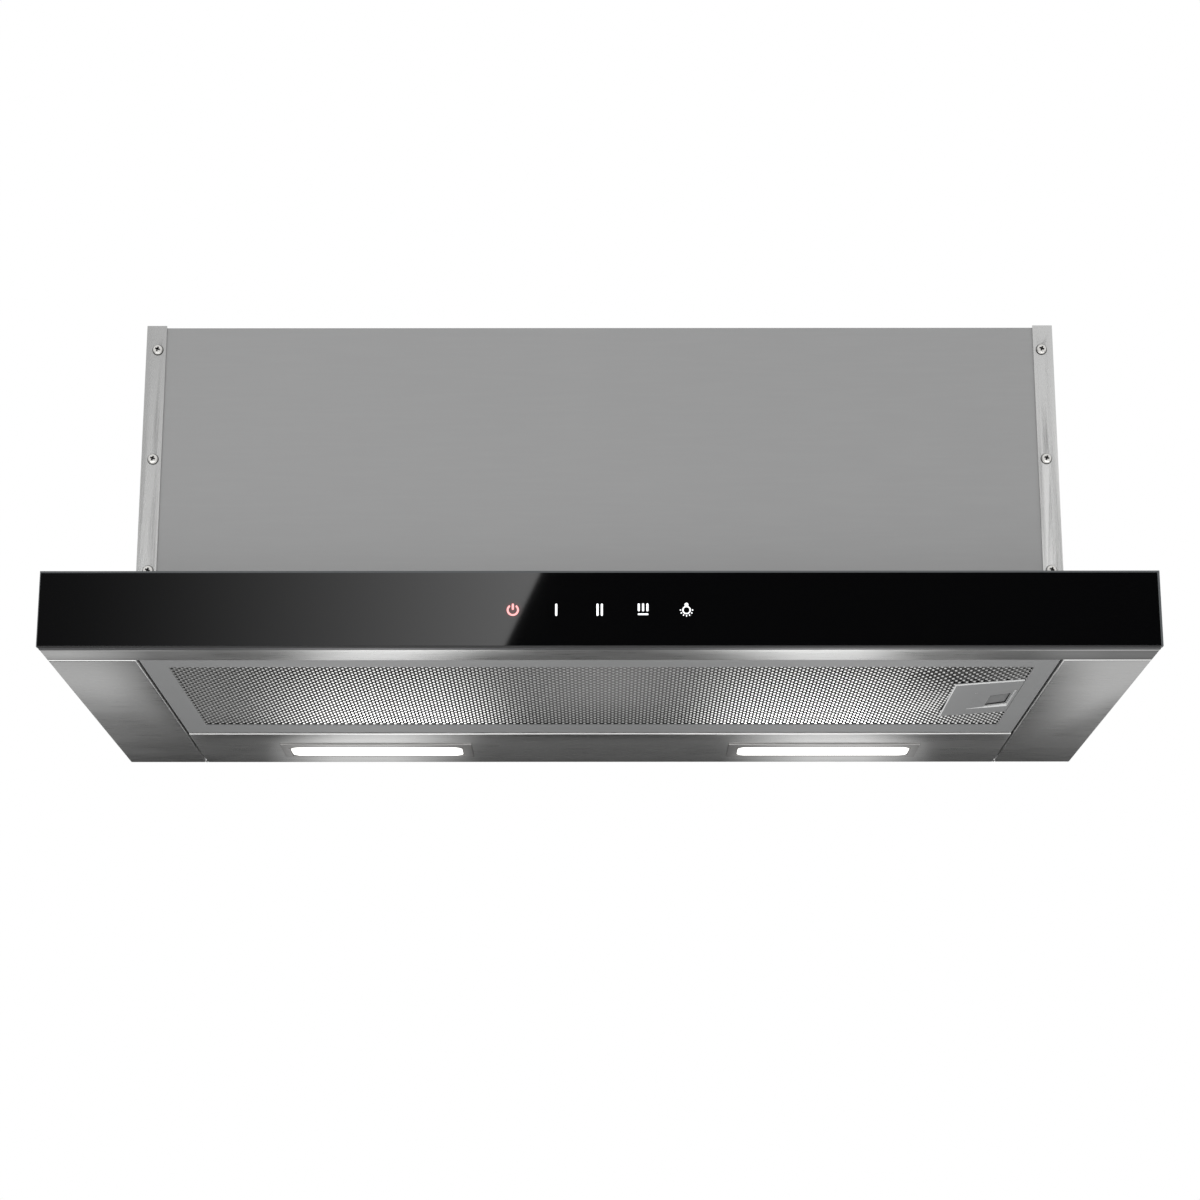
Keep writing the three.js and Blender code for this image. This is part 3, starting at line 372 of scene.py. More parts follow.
def circuit_board():
    """Solder mask over copper tracks, with small bare pads."""
    board = Finish("Circuit_board", (0.03, 0.16, 0.07), 0.3)
    line = board.cells([300] * 3, "DISTANCE_TO_EDGE") < 0.09
    pad = board.cells([230] * 3) < 0.2
    green = board.tint(line, (0.018, 0.11, 0.045), (0.035, 0.2, 0.085))
    board.put(Metallic=pad * 0.9)
    return board.dressed(board.tint(pad, green, (0.62, 0.58, 0.5)), pad * -0.1 + 0.34, line + pad, 0.00006, 0.5)


def lit_lens():
    """Frosted lens with a lit field with round corners and a dim grey margin."""
    low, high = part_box("lamp_lens_right")
    middle = (low + high) / 2
    half = (high - low) / 2
    corner = sizes().lens_corner
    lens = Finish("Lit_lens", (0.9, 0.9, 0.88), 0.35)
    over_x = (abs(abs(lens.axis(0)) - middle.x) - (half.x - corner)).larger(0.0)
    over_y = (abs(lens.axis(1) - middle.y) - (half.y - corner)).larger(0.0)
    reach = (over_x * over_x + over_y * over_y) ** 0.5
    lit = (1.0 - (reach - corner * 0.86) / (corner * 0.14)).clamped()
    frost = lens.noise([700] * 3, 2.0, 0.6)
    lens.put(Emission_Color=lens.tint(lit * (frost * 0.06 + 0.97), BLACK, tuple(colours().lamp)),
             Emission_Strength=colours().lamp_strength)
    return lens.dressed(lens.tint(lit, (0.20, 0.195, 0.19), (0.95, 0.95, 0.93)), frost * 0.2 + 0.3)


def ground_edges():
    """How far the ground edge runs in at the left, right, foot and top of the pane."""
    chamfer = sizes().glass_chamfer
    return chamfer * 0.7, chamfer * 1.6, chamfer * 0.35, chamfer * 1.5


def black_glass():
    """Black glass with a ground grey rim, and a faint red bloom round the lit power mark."""
    low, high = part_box("glass_panel")
    left, right, foot, top = ground_edges()
    glass = Finish("Black_glass", tuple(colours().glass), 0.03, Coat_Weight=0.0)
    x, y, z = (glass.axis(index) for index in range(3))
    rim = (x > high.x - right).larger(x < low.x + left).larger(z > high.z - top)
    under = (z < low.z + foot).larger(y > low.y + PANE_SET_BACK + GROUND_DEPTH) * (1.0 - rim)
    bloom_x = x - sizes().mark_pitch * -2
    bloom_z = z - sizes().mark_height_at
    distance = (bloom_x * bloom_x + bloom_z * bloom_z) ** 0.5
    bloom = (1.0 - distance / 0.0065).clamped()
    grain = glass.noise([500] * 3)
    glass.put(Emission_Color=glass.tint(bloom * bloom, BLACK, (0.35, 0.02, 0.02)), Emission_Strength=0.25)
    colour = glass.tint(rim, tuple(colours().glass), tuple(colours().glass_rim))
    return glass.dressed(colour, rim * (grain * 0.2 + 0.3) + under * 0.85 + 0.025)


def lit_mark(name, colour):
    mark = Finish(name, shade(colour, 0.8), 0.4, Emission_Strength=0.95)
    mark.put(Emission_Color=mark.tint(mark.noise([900] * 3), *shades(colour, 0.92, 1.0)))
    return mark.material


# ------------------------------------------------------------------ making meshes
def placed(name, data):
    """A new object in the scene."""
    thing = bpy.data.objects.new(name, data)
    bpy.context.scene.collection.objects.link(thing)
    return thing


def add_piece(name, mesh, finish, stands_for=(), body=None):
    """Puts a mesh on the hood as a piece that rides on a body and stands for CAD nodes."""
    mesh.materials.clear()
    mesh.materials.append(finish)
    piece = placed(name, mesh)
    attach(piece, body or frame["nodes"][stands_for[0]]["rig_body"])
    if stands_for:
        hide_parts(*stands_for)
    return piece


def settled(name, carrier):
    """The mesh that an object shows after its modifiers; the object goes."""
    bpy.context.view_layer.update()
    done = carrier.evaluated_get(bpy.context.evaluated_depsgraph_get())
    result = bpy.data.meshes.new_from_object(done)
    result.name = name
    carrier.modifiers.clear()
    bpy.data.objects.remove(carrier)
    return result


def modified(name, mesh, kind, **settings):
    """The mesh after one modifier."""
    carrier = placed(name, mesh)
    modifier = carrier.modifiers.new(kind, kind)
    for key, value in settings.items():
        setattr(modifier, key, value)
    return settled(name, carrier)


def shaded(mesh):
    """Smooth over the shallow edges of a curve, and flat elsewhere."""
    mesh.shade_smooth()
    mesh.set_sharp_from_angle(angle=math.radians(20))
    return mesh


def plain(shape, name):
    """A mesh from a bmesh."""
    mesh = bpy.data.meshes.new(name)
    shape.to_mesh(mesh)
    shape.free()
    return mesh


def smooth(shape, name):
    return shaded(plain(shape, name))


def soften(node, finish, width=None, segments=2, folds=(), move=None):
    """Stands a copy of a CAD node in for it, with its edges rounded and its folds bent wider."""
    shape = bmesh.new()
    shape.from_mesh(frame["nodes"][node].data)
    bmesh.ops.remove_doubles(shape, verts=shape.verts, dist=2e-6)
    bmesh.ops.dissolve_limit(shape, angle_limit=FLAT, verts=shape.verts, edges=shape.edges)
    low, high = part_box(node)
    if move:
        for vert in shape.verts:
            move(vert.co, low, high)
    width = width or sizes().edge_round
    widest = max([width] + [radius for _, radius in folds])
    weights = shape.edges.layers.float.new("bevel_weight_edge")
    for edge in shape.edges:
        if len(edge.link_faces) == 2 and edge.calc_face_angle(0) > math.radians(40):
            bent = [radius for fold, radius in folds if all(fold(vert.co, low, high) for vert in edge.verts)]
            edge[weights] = max([width] + bent) / widest
    name = f"{node}_finished"
    mesh = modified(name, smooth(shape, node), "BEVEL", width=widest, segments=segments, limit_method="WEIGHT")
    return add_piece(name, shaded(mesh), finish, [node])


def joined(piece, *meshes):
    """Adds more closed bodies to a piece's mesh."""
    shape = bmesh.new()
    for mesh in (piece.data, *meshes):
        shape.from_mesh(mesh)
    shape.to_mesh(piece.data)
    shape.free()
    shaded(piece.data)
    return piece


SIDE_TESTS = {
    "foot": lambda point, low, high: point.z < low.z + NEAR,
    "top": lambda point, low, high: point.z > high.z - NEAR,
    "front": lambda point, low, high: point.y < low.y + NEAR,
    "back": lambda point, low, high: point.y > high.y - NEAR,
    "outer": lambda point, low, high: abs(point.x) > max(abs(low.x), abs(high.x)) - NEAR,
}


def where(*sides):
    """A test for the points that lie on all the given sides of a box."""
    return lambda point, low, high: all(SIDE_TESTS[side](point, low, high) for side in sides)


def carried(half, lift=0.0):
    """Moves a piece's ends out to a half width, and its foot up."""
    def move(point, low, high):
        if SIDE_TESTS["outer"](point, low, high):
            point.x = math.copysign(half, point.x)
        if SIDE_TESTS["foot"](point, low, high):
            point.z += lift
    return move


def add_box(shape, low, high):
    """Adds a box to a bmesh and gives its corners."""
    made = bmesh.ops.create_cube(shape, size=1.0)["verts"]
    for vert in made:
        share = vert.co + Vector((0.5, 0.5, 0.5))
        vert.co = [low[i] + share[i] * (high[i] - low[i]) for i in range(3)]
    return made


def chamfered_block(name, low, high, width):
    """A block with its edges cut, as a mesh in its place."""
    shape = bmesh.new()
    add_box(shape, low, high)
    bmesh.ops.bevel(shape, geom=shape.edges[:], offset=width, segments=1, affect="EDGES", profile=0.5)
    return smooth(shape, name)


def open_edges(shape):
    return [edge for edge in shape.edges if len(edge.link_faces) == 1]


def grown(name, points, tree, values):
    """The plain mesh that a node tree grows on a cloud of points."""
    cloud = bpy.data.meshes.new(name)
    cloud.from_pydata([tuple(point) for point in points], [], [])
    carrier = placed(name, cloud)
    modifier = carrier.modifiers.new("Grown", "NODES")
    modifier.node_group = tree
    for item in tree.interface.items_tree:
        if item.in_out == "INPUT" and item.name in values:
            modifier[item.identifier] = values[item.name]
    return settled(name, carrier)


def new_recipe(name, inputs):
    """A geometry tree with its named inputs, and the group's input node."""
    group = bpy.data.node_groups.new(name, "GeometryNodeTree")
    group.interface.new_socket("Geometry", in_out="OUTPUT", socket_type="NodeSocketGeometry")
    group.interface.new_socket("Geometry", in_out="INPUT", socket_type="NodeSocketGeometry")
    for label, kind, default in inputs:
        socket = group.interface.new_socket(label, in_out="INPUT", socket_type=kind)
        if default is not None:
            socket.default_value = default
    recipe = Tree(group)
    entry = group.nodes.new("NodeGroupInput")
    return recipe, {output.name: Wire(recipe, output) for output in entry.outputs if output.name}


def finish_recipe(recipe, geometry, material):
    """Ends a tree in real geometry with its finish set."""
    real = recipe.add("GeometryNodeRealizeInstances", None, {0: geometry})
    done = recipe.add("GeometryNodeSetMaterial", None, {"Geometry": real, "Material": material})
    recipe.add("NodeGroupOutput", None, {0: done})


def net_recipe():
    """Expanded metal: on each point two leaning half strands cross under a rolled knuckle, which is marked to
    stay clear of the strands' painted shade.
    """
    recipe, given = new_recipe("Expanded net", [
        ("Strand Length", "NodeSocketFloat", 0.004),
        ("Strand Width", "NodeSocketFloat", 0.001),
        ("Thickness", "NodeSocketFloat", 0.0004),
        ("Slant", "NodeSocketFloat", 1.0),
        ("Lean", "NodeSocketFloat", -0.6),
        ("Knuckle Width", "NodeSocketFloat", 0.0016),
        ("Knuckle Length", "NodeSocketFloat", 0.0010),
        ("Finish", "NodeSocketMaterial", None),
    ])

    def vector(x=0.0, y=0.0, z=0.0):
        return recipe.add("ShaderNodeCombineXYZ", None, {0: x, 1: y, 2: z})

    def slab(length, width):
        size = vector(given[length], given[width], given["Thickness"])
        return recipe.add("GeometryNodeMeshCube", None, {"Size": size})

    def turned(part, **values):
        return recipe.add("GeometryNodeTransform", None, {"Geometry": part, **values})

    bar = slab("Strand Length", "Strand Width")
    parts = [turned(bar, Rotation=vector(given["Lean"], 0.0, slant))
             for slant in (given["Slant"], given["Slant"] * -1.0)]
    knuckle = turned(slab("Knuckle Width", "Knuckle Length"), Translation=vector(z=given["Thickness"] * -1.0),
                     Rotation=vector(given["Lean"]))
    parts.append(recipe.add("GeometryNodeStoreNamedAttribute", {"data_type": "FLOAT", "domain": "FACE"}, {
        "Geometry": knuckle, "Name": "rolled_bright", "Value": 1.0}))
    join = recipe.tree.nodes.new("GeometryNodeJoinGeometry")
    for part in parts:
        recipe.tree.links.new(part.socket, join.inputs[0])
    spread = recipe.add("GeometryNodeInstanceOnPoints", None, {
        "Points": given["Geometry"], "Instance": Wire(recipe, join.outputs[0])})
    finish_recipe(recipe, spread, given["Finish"])
    return recipe.tree


def fastener_recipe():
    """A head on each point, turned to the given direction and size."""
    recipe, given = new_recipe("Fasteners", [
        ("Head", "NodeSocketObject", None),
        ("Turn", "NodeSocketVector", (0.0, 0.0, 0.0)),
        ("Size", "NodeSocketFloat", 1.0),
        ("Finish", "NodeSocketMaterial", None),
    ])
    head = recipe.add("GeometryNodeObjectInfo", None, {"Object": given["Head"]}, output="Geometry")
    spread = recipe.add("GeometryNodeInstanceOnPoints", None, {
        "Points": given["Geometry"], "Instance": head, "Rotation": given["Turn"], "Scale": given["Size"]})
    finish_recipe(recipe, spread, given["Finish"])
    return recipe.tree


def turned_head(name, profile, size, steps=32):
    """A closed round head from a profile of radii and heights that starts and ends on its axis."""
    shape = bmesh.new()
    ring_before = None
    for radius, height in profile:
        turns = [2 * math.pi * step / steps for step in range(steps if radius else 1)]
        ring = [shape.verts.new((radius * size * math.cos(t), radius * size * math.sin(t), height * size))
                for t in turns]
        if ring_before:
            for step in range(steps):
                corners = [ring_before[step % len(ring_before)], ring[step % len(ring)],
                           ring[(step + 1) % len(ring)], ring_before[(step + 1) % len(ring_before)]]
                shape.faces.new(list(dict.fromkeys(corners)))
        ring_before = ring
    bmesh.ops.recalc_face_normals(shape, faces=shape.faces)
    return smooth(shape, name)


def cross_head(diameter):
    """A pan head with a cross recess, on the local Z axis, foot at zero."""
    radius = diameter / 2
    # the thin flat ring at the foot, wider than the head, carries the painted shadow under the head
    dome = [(0, 0), (1.12, 0), (1.12, 0.03), (0.94, 0.04), (0.94, 0.16), (1, 0.22), (0.97, 0.36), (0.86, 0.54),
            (0.66, 0.66), (0.36, 0.73), (0, 0.75)]
    cutter_shape = bmesh.new()
    for turn in (0, math.pi / 2):
        made = bmesh.ops.create_cube(cutter_shape, size=1.0)["verts"]
        for vert in made:
            taper = 0.5 if vert.co.z < 0 else 1.0
            vert.co = Vector((vert.co.x * 1.35 * taper, vert.co.y * 0.34, vert.co.z + 0.75)) * radius
        bmesh.ops.rotate(cutter_shape, verts=made, matrix=Matrix.Rotation(turn, 3, "Z"))
    cutter = placed("Recess", smooth(cutter_shape, "Recess"))
    mesh = modified("Cross_head", turned_head("Head", dome, radius), "BOOLEAN", object=cutter, solver="EXACT",
                    use_self=True)
    bpy.data.objects.remove(cutter)
    shaded(mesh)
    # painted shade on the cross recess and the foot of the head, read by the plated finish
    grime = mesh.attributes.new("grime", "FLOAT", "FACE")
    for face, value in zip(mesh.polygons, grime.data):
        reach, level = face.center.xy.length / radius, face.center.z / radius
        value.value = 1.0 if reach < 0.7 and level < 0.62 or level < 0.17 else 0.0
    return mesh


def fasten(name, mesh, points, turn, finish, stands_for=(), body=None):
    """Grows the same head on every point as one piece."""
    head = placed(f"{name}_head", mesh)
    head.hide_render = True
    values = {"Head": head, "Turn": turn, "Size": 1.0, "Finish": finish}
    result = grown(name, points, fastener_recipe(), values)
    bpy.data.objects.remove(head)
    return add_piece(name, result, finish, stands_for, body)


# ------------------------------------------------------------------ properties
def length(name, description, default, low, high):
    return FloatProperty(name=name, description=description, default=default, min=low, max=high, unit="LENGTH",
                         precision=5)


def colour(name, description, default):
    return FloatVectorProperty(name=name, description=description, default=default, min=0, max=1,
                               subtype="COLOR")


class HoodSizes(bpy.types.PropertyGroup):
    edge_round: length("Edge round", "Rounding of a folded or cut sheet edge", 0.0003, 0.00005, 0.0005)
    bend_radius: length("Bend radius", "Outer radius of a folded edge under the hood", 0.0009, 0.0003, 0.002)
    lip_radius: length("Lip radius", "Outer radius of the lip's fold behind the glass", 0.003, 0.0005, 0.0032)
    glass_chamfer: length("Glass chamfer", "Ground chamfer round the glass", 0.0008, 0.0002, 0.0015)
    lens_corner: length("Lens corner", "Corner radius of a lamp's lit field", 0.006, 0.001, 0.011)
    net_across: length("Net pitch across", "Knuckle pitch of the net along the hood's width", 0.0042, 0.003, 0.01)
    net_along: length("Net pitch along", "Knuckle pitch of the net from front to back", 0.0064, 0.003, 0.012)
    strand_width: length("Strand width", "Width of a strand of the net", 0.0006, 0.0003, 0.002)
    knuckle_length: length("Knuckle length", "Length of a knuckle of the net, from front to back",
                           0.0010, 0.0005, 0.005)
    net_sag: length("Net sag", "How far from the latch plate the net starts to be pressed down",
                    0.028, 0.005, 0.05)
    strand_lean: FloatProperty(
        name="Strand lean", description="Lean of the strands towards the front",
        default=math.radians(38), min=0.0, max=1.2, subtype="ANGLE")
    mark_pitch: length("Mark pitch", "Pitch of the touch marks", 0.0231, 0.01, 0.04)
    mark_height_at: length("Mark level", "Height of the marks' middle under the cabinet's underside",
                           -0.0201, -0.04, 0.0)
    screw_head: length("Screw head", "Diameter of a casing screw's head", 0.0056, 0.003, 0.008)
    rivet_head: length("Rivet head", "Diameter of a rivet's head on the casing", 0.0042, 0.002, 0.006)
    collar_flange: length("Collar flange", "Thickness of the duct collar's flange", 0.0012, 0.0008, 0.003)


class HoodColours(bpy.types.PropertyGroup):
    steel: colour("Brushed steel", "Colour of the brushed wings, lip and lamp panel", (0.50, 0.50, 0.495))
    flange: colour("Flange steel", "Colour of the bright side panels", (0.71, 0.71, 0.705))
    body: colour("Body sheet", "Colour of the body's front sheet", (0.33, 0.33, 0.33))
    zinc: colour("Galvanised sheet", "Colour of the plain sheet inside and behind", (0.50, 0.51, 0.52))
    aluminium: colour("Filter frame", "Colour of the filter's aluminium frame", (0.195, 0.195, 0.195))
    mesh: colour("Net", "Colour of the filter's expanded net", (0.88, 0.88, 0.87))
    glass: colour("Glass", "Colour of the black glass", (0.0022, 0.0022, 0.0024))
    glass_rim: colour("Glass rim", "Colour of the glass's ground edges", (0.062, 0.067, 0.070))
    lamp: colour("Lamp light", "Colour of the lamps", (1.0, 0.985, 0.95))
    lamp_strength: FloatProperty(
        name="Lamp strength", description="Brightness of the lit lens", default=1.6, min=0, max=10)


# ------------------------------------------------------------------ pieces
class HOOD_OT_casing(bpy.types.Operator):
    """Body panels, wings and lamp panel in folded sheet with rounded edges"""
    bl_idname = "hood.casing"
    bl_label = "Casing"

    def execute(self, context):
        soften("front_panel", body_sheet())
        upright = steel_upright()
        zinc = zinc_sheet()
        across = steel_across()
        bend = sizes().bend_radius
        for side in SIDES:
            soften(f"side_panel_{side}", upright, segments=4,
                   folds=((where("outer", "front"), bend), (where("outer", "top"), bend)))
            soften(f"wing_{side}", across, segments=4,
                   folds=((where("foot"), bend), (where("outer", "back"), 2.2 * bend)))
        panel = soften("lamp_panel", across, segments=4, folds=((where("foot"), bend),))
        low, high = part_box("lamp_panel")
        edge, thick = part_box("wing_right")[0].x - 0.0001, 0.0012
        front, top, cut = high.y - thick, low.z + thick, 0.0002
        ends = [sorted((side * high.x, side * edge)) for side in (-1, 1)]
        joined(panel, *(chamfered_block("corner", (x0, front, low.z), (x1, high.y, top), cut) for x0, x1 in ends))
        for node in ("back_panel", "top_panel", "intake_plate"):
            soften(node, zinc)
        return {"FINISHED"}


class HOOD_OT_screws(bpy.types.Operator):
    """Cross-head screws through the side flanges"""
    bl_idname = "hood.screws"
    bl_label = "Screws"

    def execute(self, context):
        nodes = [f"panel_screw_{side}_{number}" for side in SIDES for number in (1, 2, 3)]
        points = []
        for node in nodes:
            low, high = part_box(node)
            points.append(((low.x + high.x) / 2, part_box("side_panel_left")[0].y, (low.z + high.z) / 2))
        mesh = cross_head(sizes().screw_head)
        fasten("casing_screws", mesh, points, (math.pi / 2, math.radians(20), 0), plated_steel(), nodes)
        return {"FINISHED"}


class HOOD_OT_rivets(bpy.types.Operator):
    """Rivets along the casing's seams, and the screws that hold the duct collar"""
    bl_idname = "hood.rivets"
    bl_label = "Rivets"

    def execute(self, context):
        dome = [(0, 0), (1, 0), (0.9, 0.22), (0.5, 0.4), (0.3, 0.42), (0.26, 0.2), (0, 0.2)]
        plated = plated_steel()
        margin, spare = 0.008, 0.004
        low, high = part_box("top_panel")
        across = [low.x + margin + (high.x - low.x - 2 * margin) * step / 6 for step in range(7)]
        gland_low, gland_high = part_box("cable_gland")
        top = [(x, y, high.z) for y in (low.y + margin, high.y - margin) for x in across
               if not gland_low.x - spare < x < gland_high.x + spare]
        rivets = [("top_rivets", top, (0, 0, 0))]
        for side, sign in zip(SIDES, (-1, 1)):
            low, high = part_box(f"side_panel_{side}")
            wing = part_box(f"wing_{side}")[1]
            levels = [wing.z + margin + (high.z - wing.z - 2 * margin) * step / 3 for step in range(4)]
            points = [(sign * max(abs(low.x), abs(high.x)), y, z) for y in (low.y + 2 * margin, high.y - margin)
                      for z in levels]
            rivets.append((f"side_rivets_{side}", points, (0, sign * math.pi / 2, 0)))
        for name, points, turn in rivets:
            head = turned_head("Rivet", dome, sizes().rivet_head / 2, 20)
            fasten(name, head, points, turn, plated, body="hood")
        low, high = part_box("outlet_collar")
        middle = (low + high) / 2
        inset = 0.0042
        reach = (high.x - low.x) / 2 - inset
        turns = [math.radians(45 + 90 * step) for step in range(4)]
        level = low.z + sizes().collar_flange
        points = [(middle.x + reach * math.cos(turn), middle.y + reach * math.sin(turn), level) for turn in turns]
        fasten("collar_screws", cross_head(sizes().rivet_head * 1.1), points, (0, 0, 0.4), plated, body="hood")
        return {"FINISHED"}


class HOOD_OT_lamps(bpy.types.Operator):
    """Lamp surrounds, lit lenses and their boards"""
    bl_idname = "hood.lamps"
    bl_label = "Lamps"

    def execute(self, context):
        trim = brushed("Lamp_trim", (0.34, 0.335, 0.33), 0, 0.32, 0.06)
        glow = lit_lens()
        white = pale_moulding("White_board", (0.8, 0.79, 0.75))
        for side in SIDES:
            soften(f"lamp_bezel_{side}", trim, 0.0002)
            soften(f"lamp_lens_{side}", glow, 0.0004, 3)
            soften(f"led_board_{side}", white)
        return {"FINISHED"}


class HOOD_OT_runners(bpy.types.Operator):
    """Three-part drawer runners"""
    bl_idname = "hood.runners"
    bl_label = "Runners"

    def execute(self, context):
        plated = plated_steel()
        for side in SIDES:
            for member in ("outer", "middle", "inner"):
                soften(f"runner_{member}_{side}", plated)
        return {"FINISHED"}


class HOOD_OT_rear_filter(bpy.types.Operator):
    """The upper filter with its spring latch"""
    bl_idname = "hood.rear_filter"
    bl_label = "Rear filter"

    def execute(self, context):
        soften("rear_filter_frame", filter_aluminium(), 0.0004)
        soften("rear_filter_layers", filter_wool())
        soften("rear_filter_latch", black_moulding())
        return {"FINISHED"}


class HOOD_OT_blower(bpy.types.Operator):
    """Scroll housing, fan wheel, motor and duct"""
    bl_idname = "hood.blower"
    bl_label = "Blower"

    def execute(self, context):
        zinc = zinc_sheet()
        cheeks = [f"scroll_cheek_{side}" for side in SIDES]
        for node in ("scroll_wrap", *cheeks, "motor_bracket", "transition_duct"):
            soften(node, zinc, 0.0002)
        soften("motor", motor_casing(), 0.0012, 3)
        soften("fan_wheel", black_moulding(), 0.0001, 1)
        soften("fan_shaft", plated_steel())
        return {"FINISHED"}


class HOOD_OT_outlet(bpy.types.Operator):
    """Duct collar with its two damper flaps"""
    bl_idname = "hood.outlet"
    bl_label = "Outlet"

    def execute(self, context):
        dark = black_moulding()
        soften("outlet_collar", dark, 0.0003)
        soften("damper_flap_front", dark, 0.0002)
        soften("damper_flap_rear", dark, 0.0002)
        soften("damper_pin", plated_steel(), 0.0002)
        return {"FINISHED"}


class HOOD_OT_electrics(bpy.types.Operator):
    """Control box and board, run capacitor, cable gland and touch board"""
    bl_idname = "hood.electrics"
    bl_label = "Electrics"

    def execute(self, context):
        grey = pale_moulding("Grey_moulding", (0.28, 0.29, 0.30))
        board = circuit_board()
        soften("control_box", grey, 0.0006, 3)
        soften("cable_gland", grey, 0.0003)
        soften("run_capacitor", pale_moulding("Capacitor_can", (0.78, 0.77, 0.72)), 0.001, 3)
        soften("control_board", board, 0.0002)
        soften("touch_board", board, 0.0002)
        return {"FINISHED"}


class HOOD_OT_glass_front(bpy.types.Operator):
    """Black glass with ground edges on its holder and steel channel"""
    bl_idname = "hood.glass_front"
    bl_label = "Glass front"

    def execute(self, context):
        add_piece("glass_panel_finished", self.glass(), black_glass(), ["glass_panel"])
        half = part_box("glass_panel")[1].x
        inset, lowered = half - 0.0002, 0.0001
        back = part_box("glass_backing")[1].y
        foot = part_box("glass_backing")[0].z - lowered
        low, high = (-inset, back - 0.0004, foot), (inset, back + 0.0018, foot + 0.0004)
        seal = chamfered_block("seal", low, high, 0.00005)
        joined(soften("glass_backing", black_moulding(), move=carried(inset, -lowered)), seal)
        folds = ((where("foot"), sizes().bend_radius), (where("front", "foot"), sizes().lip_radius))
        soften("front_channel", lip_steel(), segments=4, folds=folds, move=carried(half))
        return {"FINISHED"}

    def glass(self):
        """The pane: its front edges are ground, most at the top and the right."""
        low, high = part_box("glass_panel")
        left, right, foot, top = ground_edges()
        front = low.y + PANE_SET_BACK
        shape = bmesh.new()
        rings = []
        for y, cut in ((front, 1), (front + GROUND_DEPTH, 0), (high.y, 0)):
            x0, x1, z0, z1 = low.x + left * cut, high.x - right * cut, low.z + foot * cut, high.z - top * cut
            rings.append([shape.verts.new((x, y, z)) for x, z in ((x0, z0), (x1, z0), (x1, z1), (x0, z1))])
        for ring, after in zip(rings, rings[1:]):
            for i in range(4):
                k = (i + 1) % 4
                shape.faces.new((ring[i], ring[k], after[k], after[i]))
        shape.faces.new(rings[0])
        shape.faces.new(rings[-1])
        bmesh.ops.recalc_face_normals(shape, faces=shape.faces)
        return smooth(shape, "glass_panel_finished")


class HOOD_OT_touch_marks(bpy.types.Operator):
    """Lit touch marks on the glass: power, one, two and three bars, and a lamp"""
    bl_idname = "hood.touch_marks"
    bl_label = "Touch marks"

    def execute(self, context):
        white = lit_mark("Lit_white_mark", (0.86, 0.87, 0.88))
        red = lit_mark("Lit_red_mark", (1.0, 0.36, 0.36))
        pitch = sizes().mark_pitch
        self.make("power_mark", red, self.power(-2 * pitch))
        self.make("speed_one_mark", white, [self.bar(-pitch, 0)])
        self.make("speed_two_mark", white, [self.bar(x, 0) for x in (-0.00115, 0.00115)])
        bars = [self.bar(pitch + x, 0.0013, 0.0044) for x in (-0.0023, 0, 0.0023)]
        self.make("speed_three_mark", white, bars + [self.bar(pitch, -0.0025, 0.0009, 0.0057)])
        self.make("light_mark", white, self.lamp(2 * pitch))
        return {"FINISHED"}

    def bar(self, x, z, height=0.0068, width=0.00112, turn=0.0):
        """A short bar with round ends, as outline points."""
        radius = min(height, width) / 2
        points = []
        for corner_x, corner_z, start in ((1, 1, 0), (-1, 1, 90), (-1, -1, 180), (1, -1, 270)):
            for step in range(5):
                angle = math.radians(start + 22.5 * step)
                points.append((corner_x * (width / 2 - radius) + radius * math.cos(angle),
                               corner_z * (height / 2 - radius) + radius * math.sin(angle)))
        c, s = math.cos(turn), math.sin(turn)
        return [[(x + c * px - s * pz, z + s * px + c * pz) for px, pz in dict.fromkeys(points)]]

    def arc(self, x, z, inner, outer, start, end):
        """A part of a ring, as quads."""
        steps = 40
        quads = []
        for step in range(steps):
            a0, a1 = (math.radians(start + (end - start) * (step + k) / steps) for k in (0, 1))
            quads.append([(x + r * math.cos(a), z + r * math.sin(a))
                          for r, a in ((inner, a0), (outer, a0), (outer, a1), (inner, a1))])
        return quads

    def power(self, x):
        return [self.arc(x, -0.0001, 0.00225, 0.00325, 125, 415), self.bar(x, 0.0017, 0.0035, 0.0012)]

    def lamp(self, x):
        parts = [self.arc(x, -0.0002, 0.0016, 0.0023, 0, 360), self.bar(x, 0.0027, 0.0022, 0.0021)]
        for angle in range(180, 361, 30):
            turn = math.radians(angle)
            parts.append(self.bar(x + 0.0032 * math.cos(turn), -0.0002 + 0.0032 * math.sin(turn),
                                  0.0009, 0.0006, turn - math.pi / 2))
        return parts

    def make(self, name, finish, parts):
        """Raises flat outlines a hair off the glass, as closed thin plates."""
        behind, thick = 0.00003, 0.00006
        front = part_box("glass_panel")[0].y + behind
        level = sizes().mark_height_at
        shape = bmesh.new()
        for part in parts:
            for outline in part:
                faces = []
                for y, order in ((front, 1), (front + thick, -1)):
                    corners = [shape.verts.new((x, y, z + level)) for x, z in outline]
                    faces.append(corners)
                    shape.faces.new(corners[::order])
                count = len(outline)
                if len(part) == 1:
                    for i in range(count):
                        k = (i + 1) % count
                        shape.faces.new((faces[0][k], faces[0][i], faces[1][i], faces[1][k]))
        bmesh.ops.remove_doubles(shape, verts=shape.verts, dist=1e-7)
        if open_edges(shape):
            bmesh.ops.bridge_loops(shape, edges=open_edges(shape))
        bmesh.ops.recalc_face_normals(shape, faces=shape.faces)
        add_piece(name, plain(shape, name), finish, body="drawer")


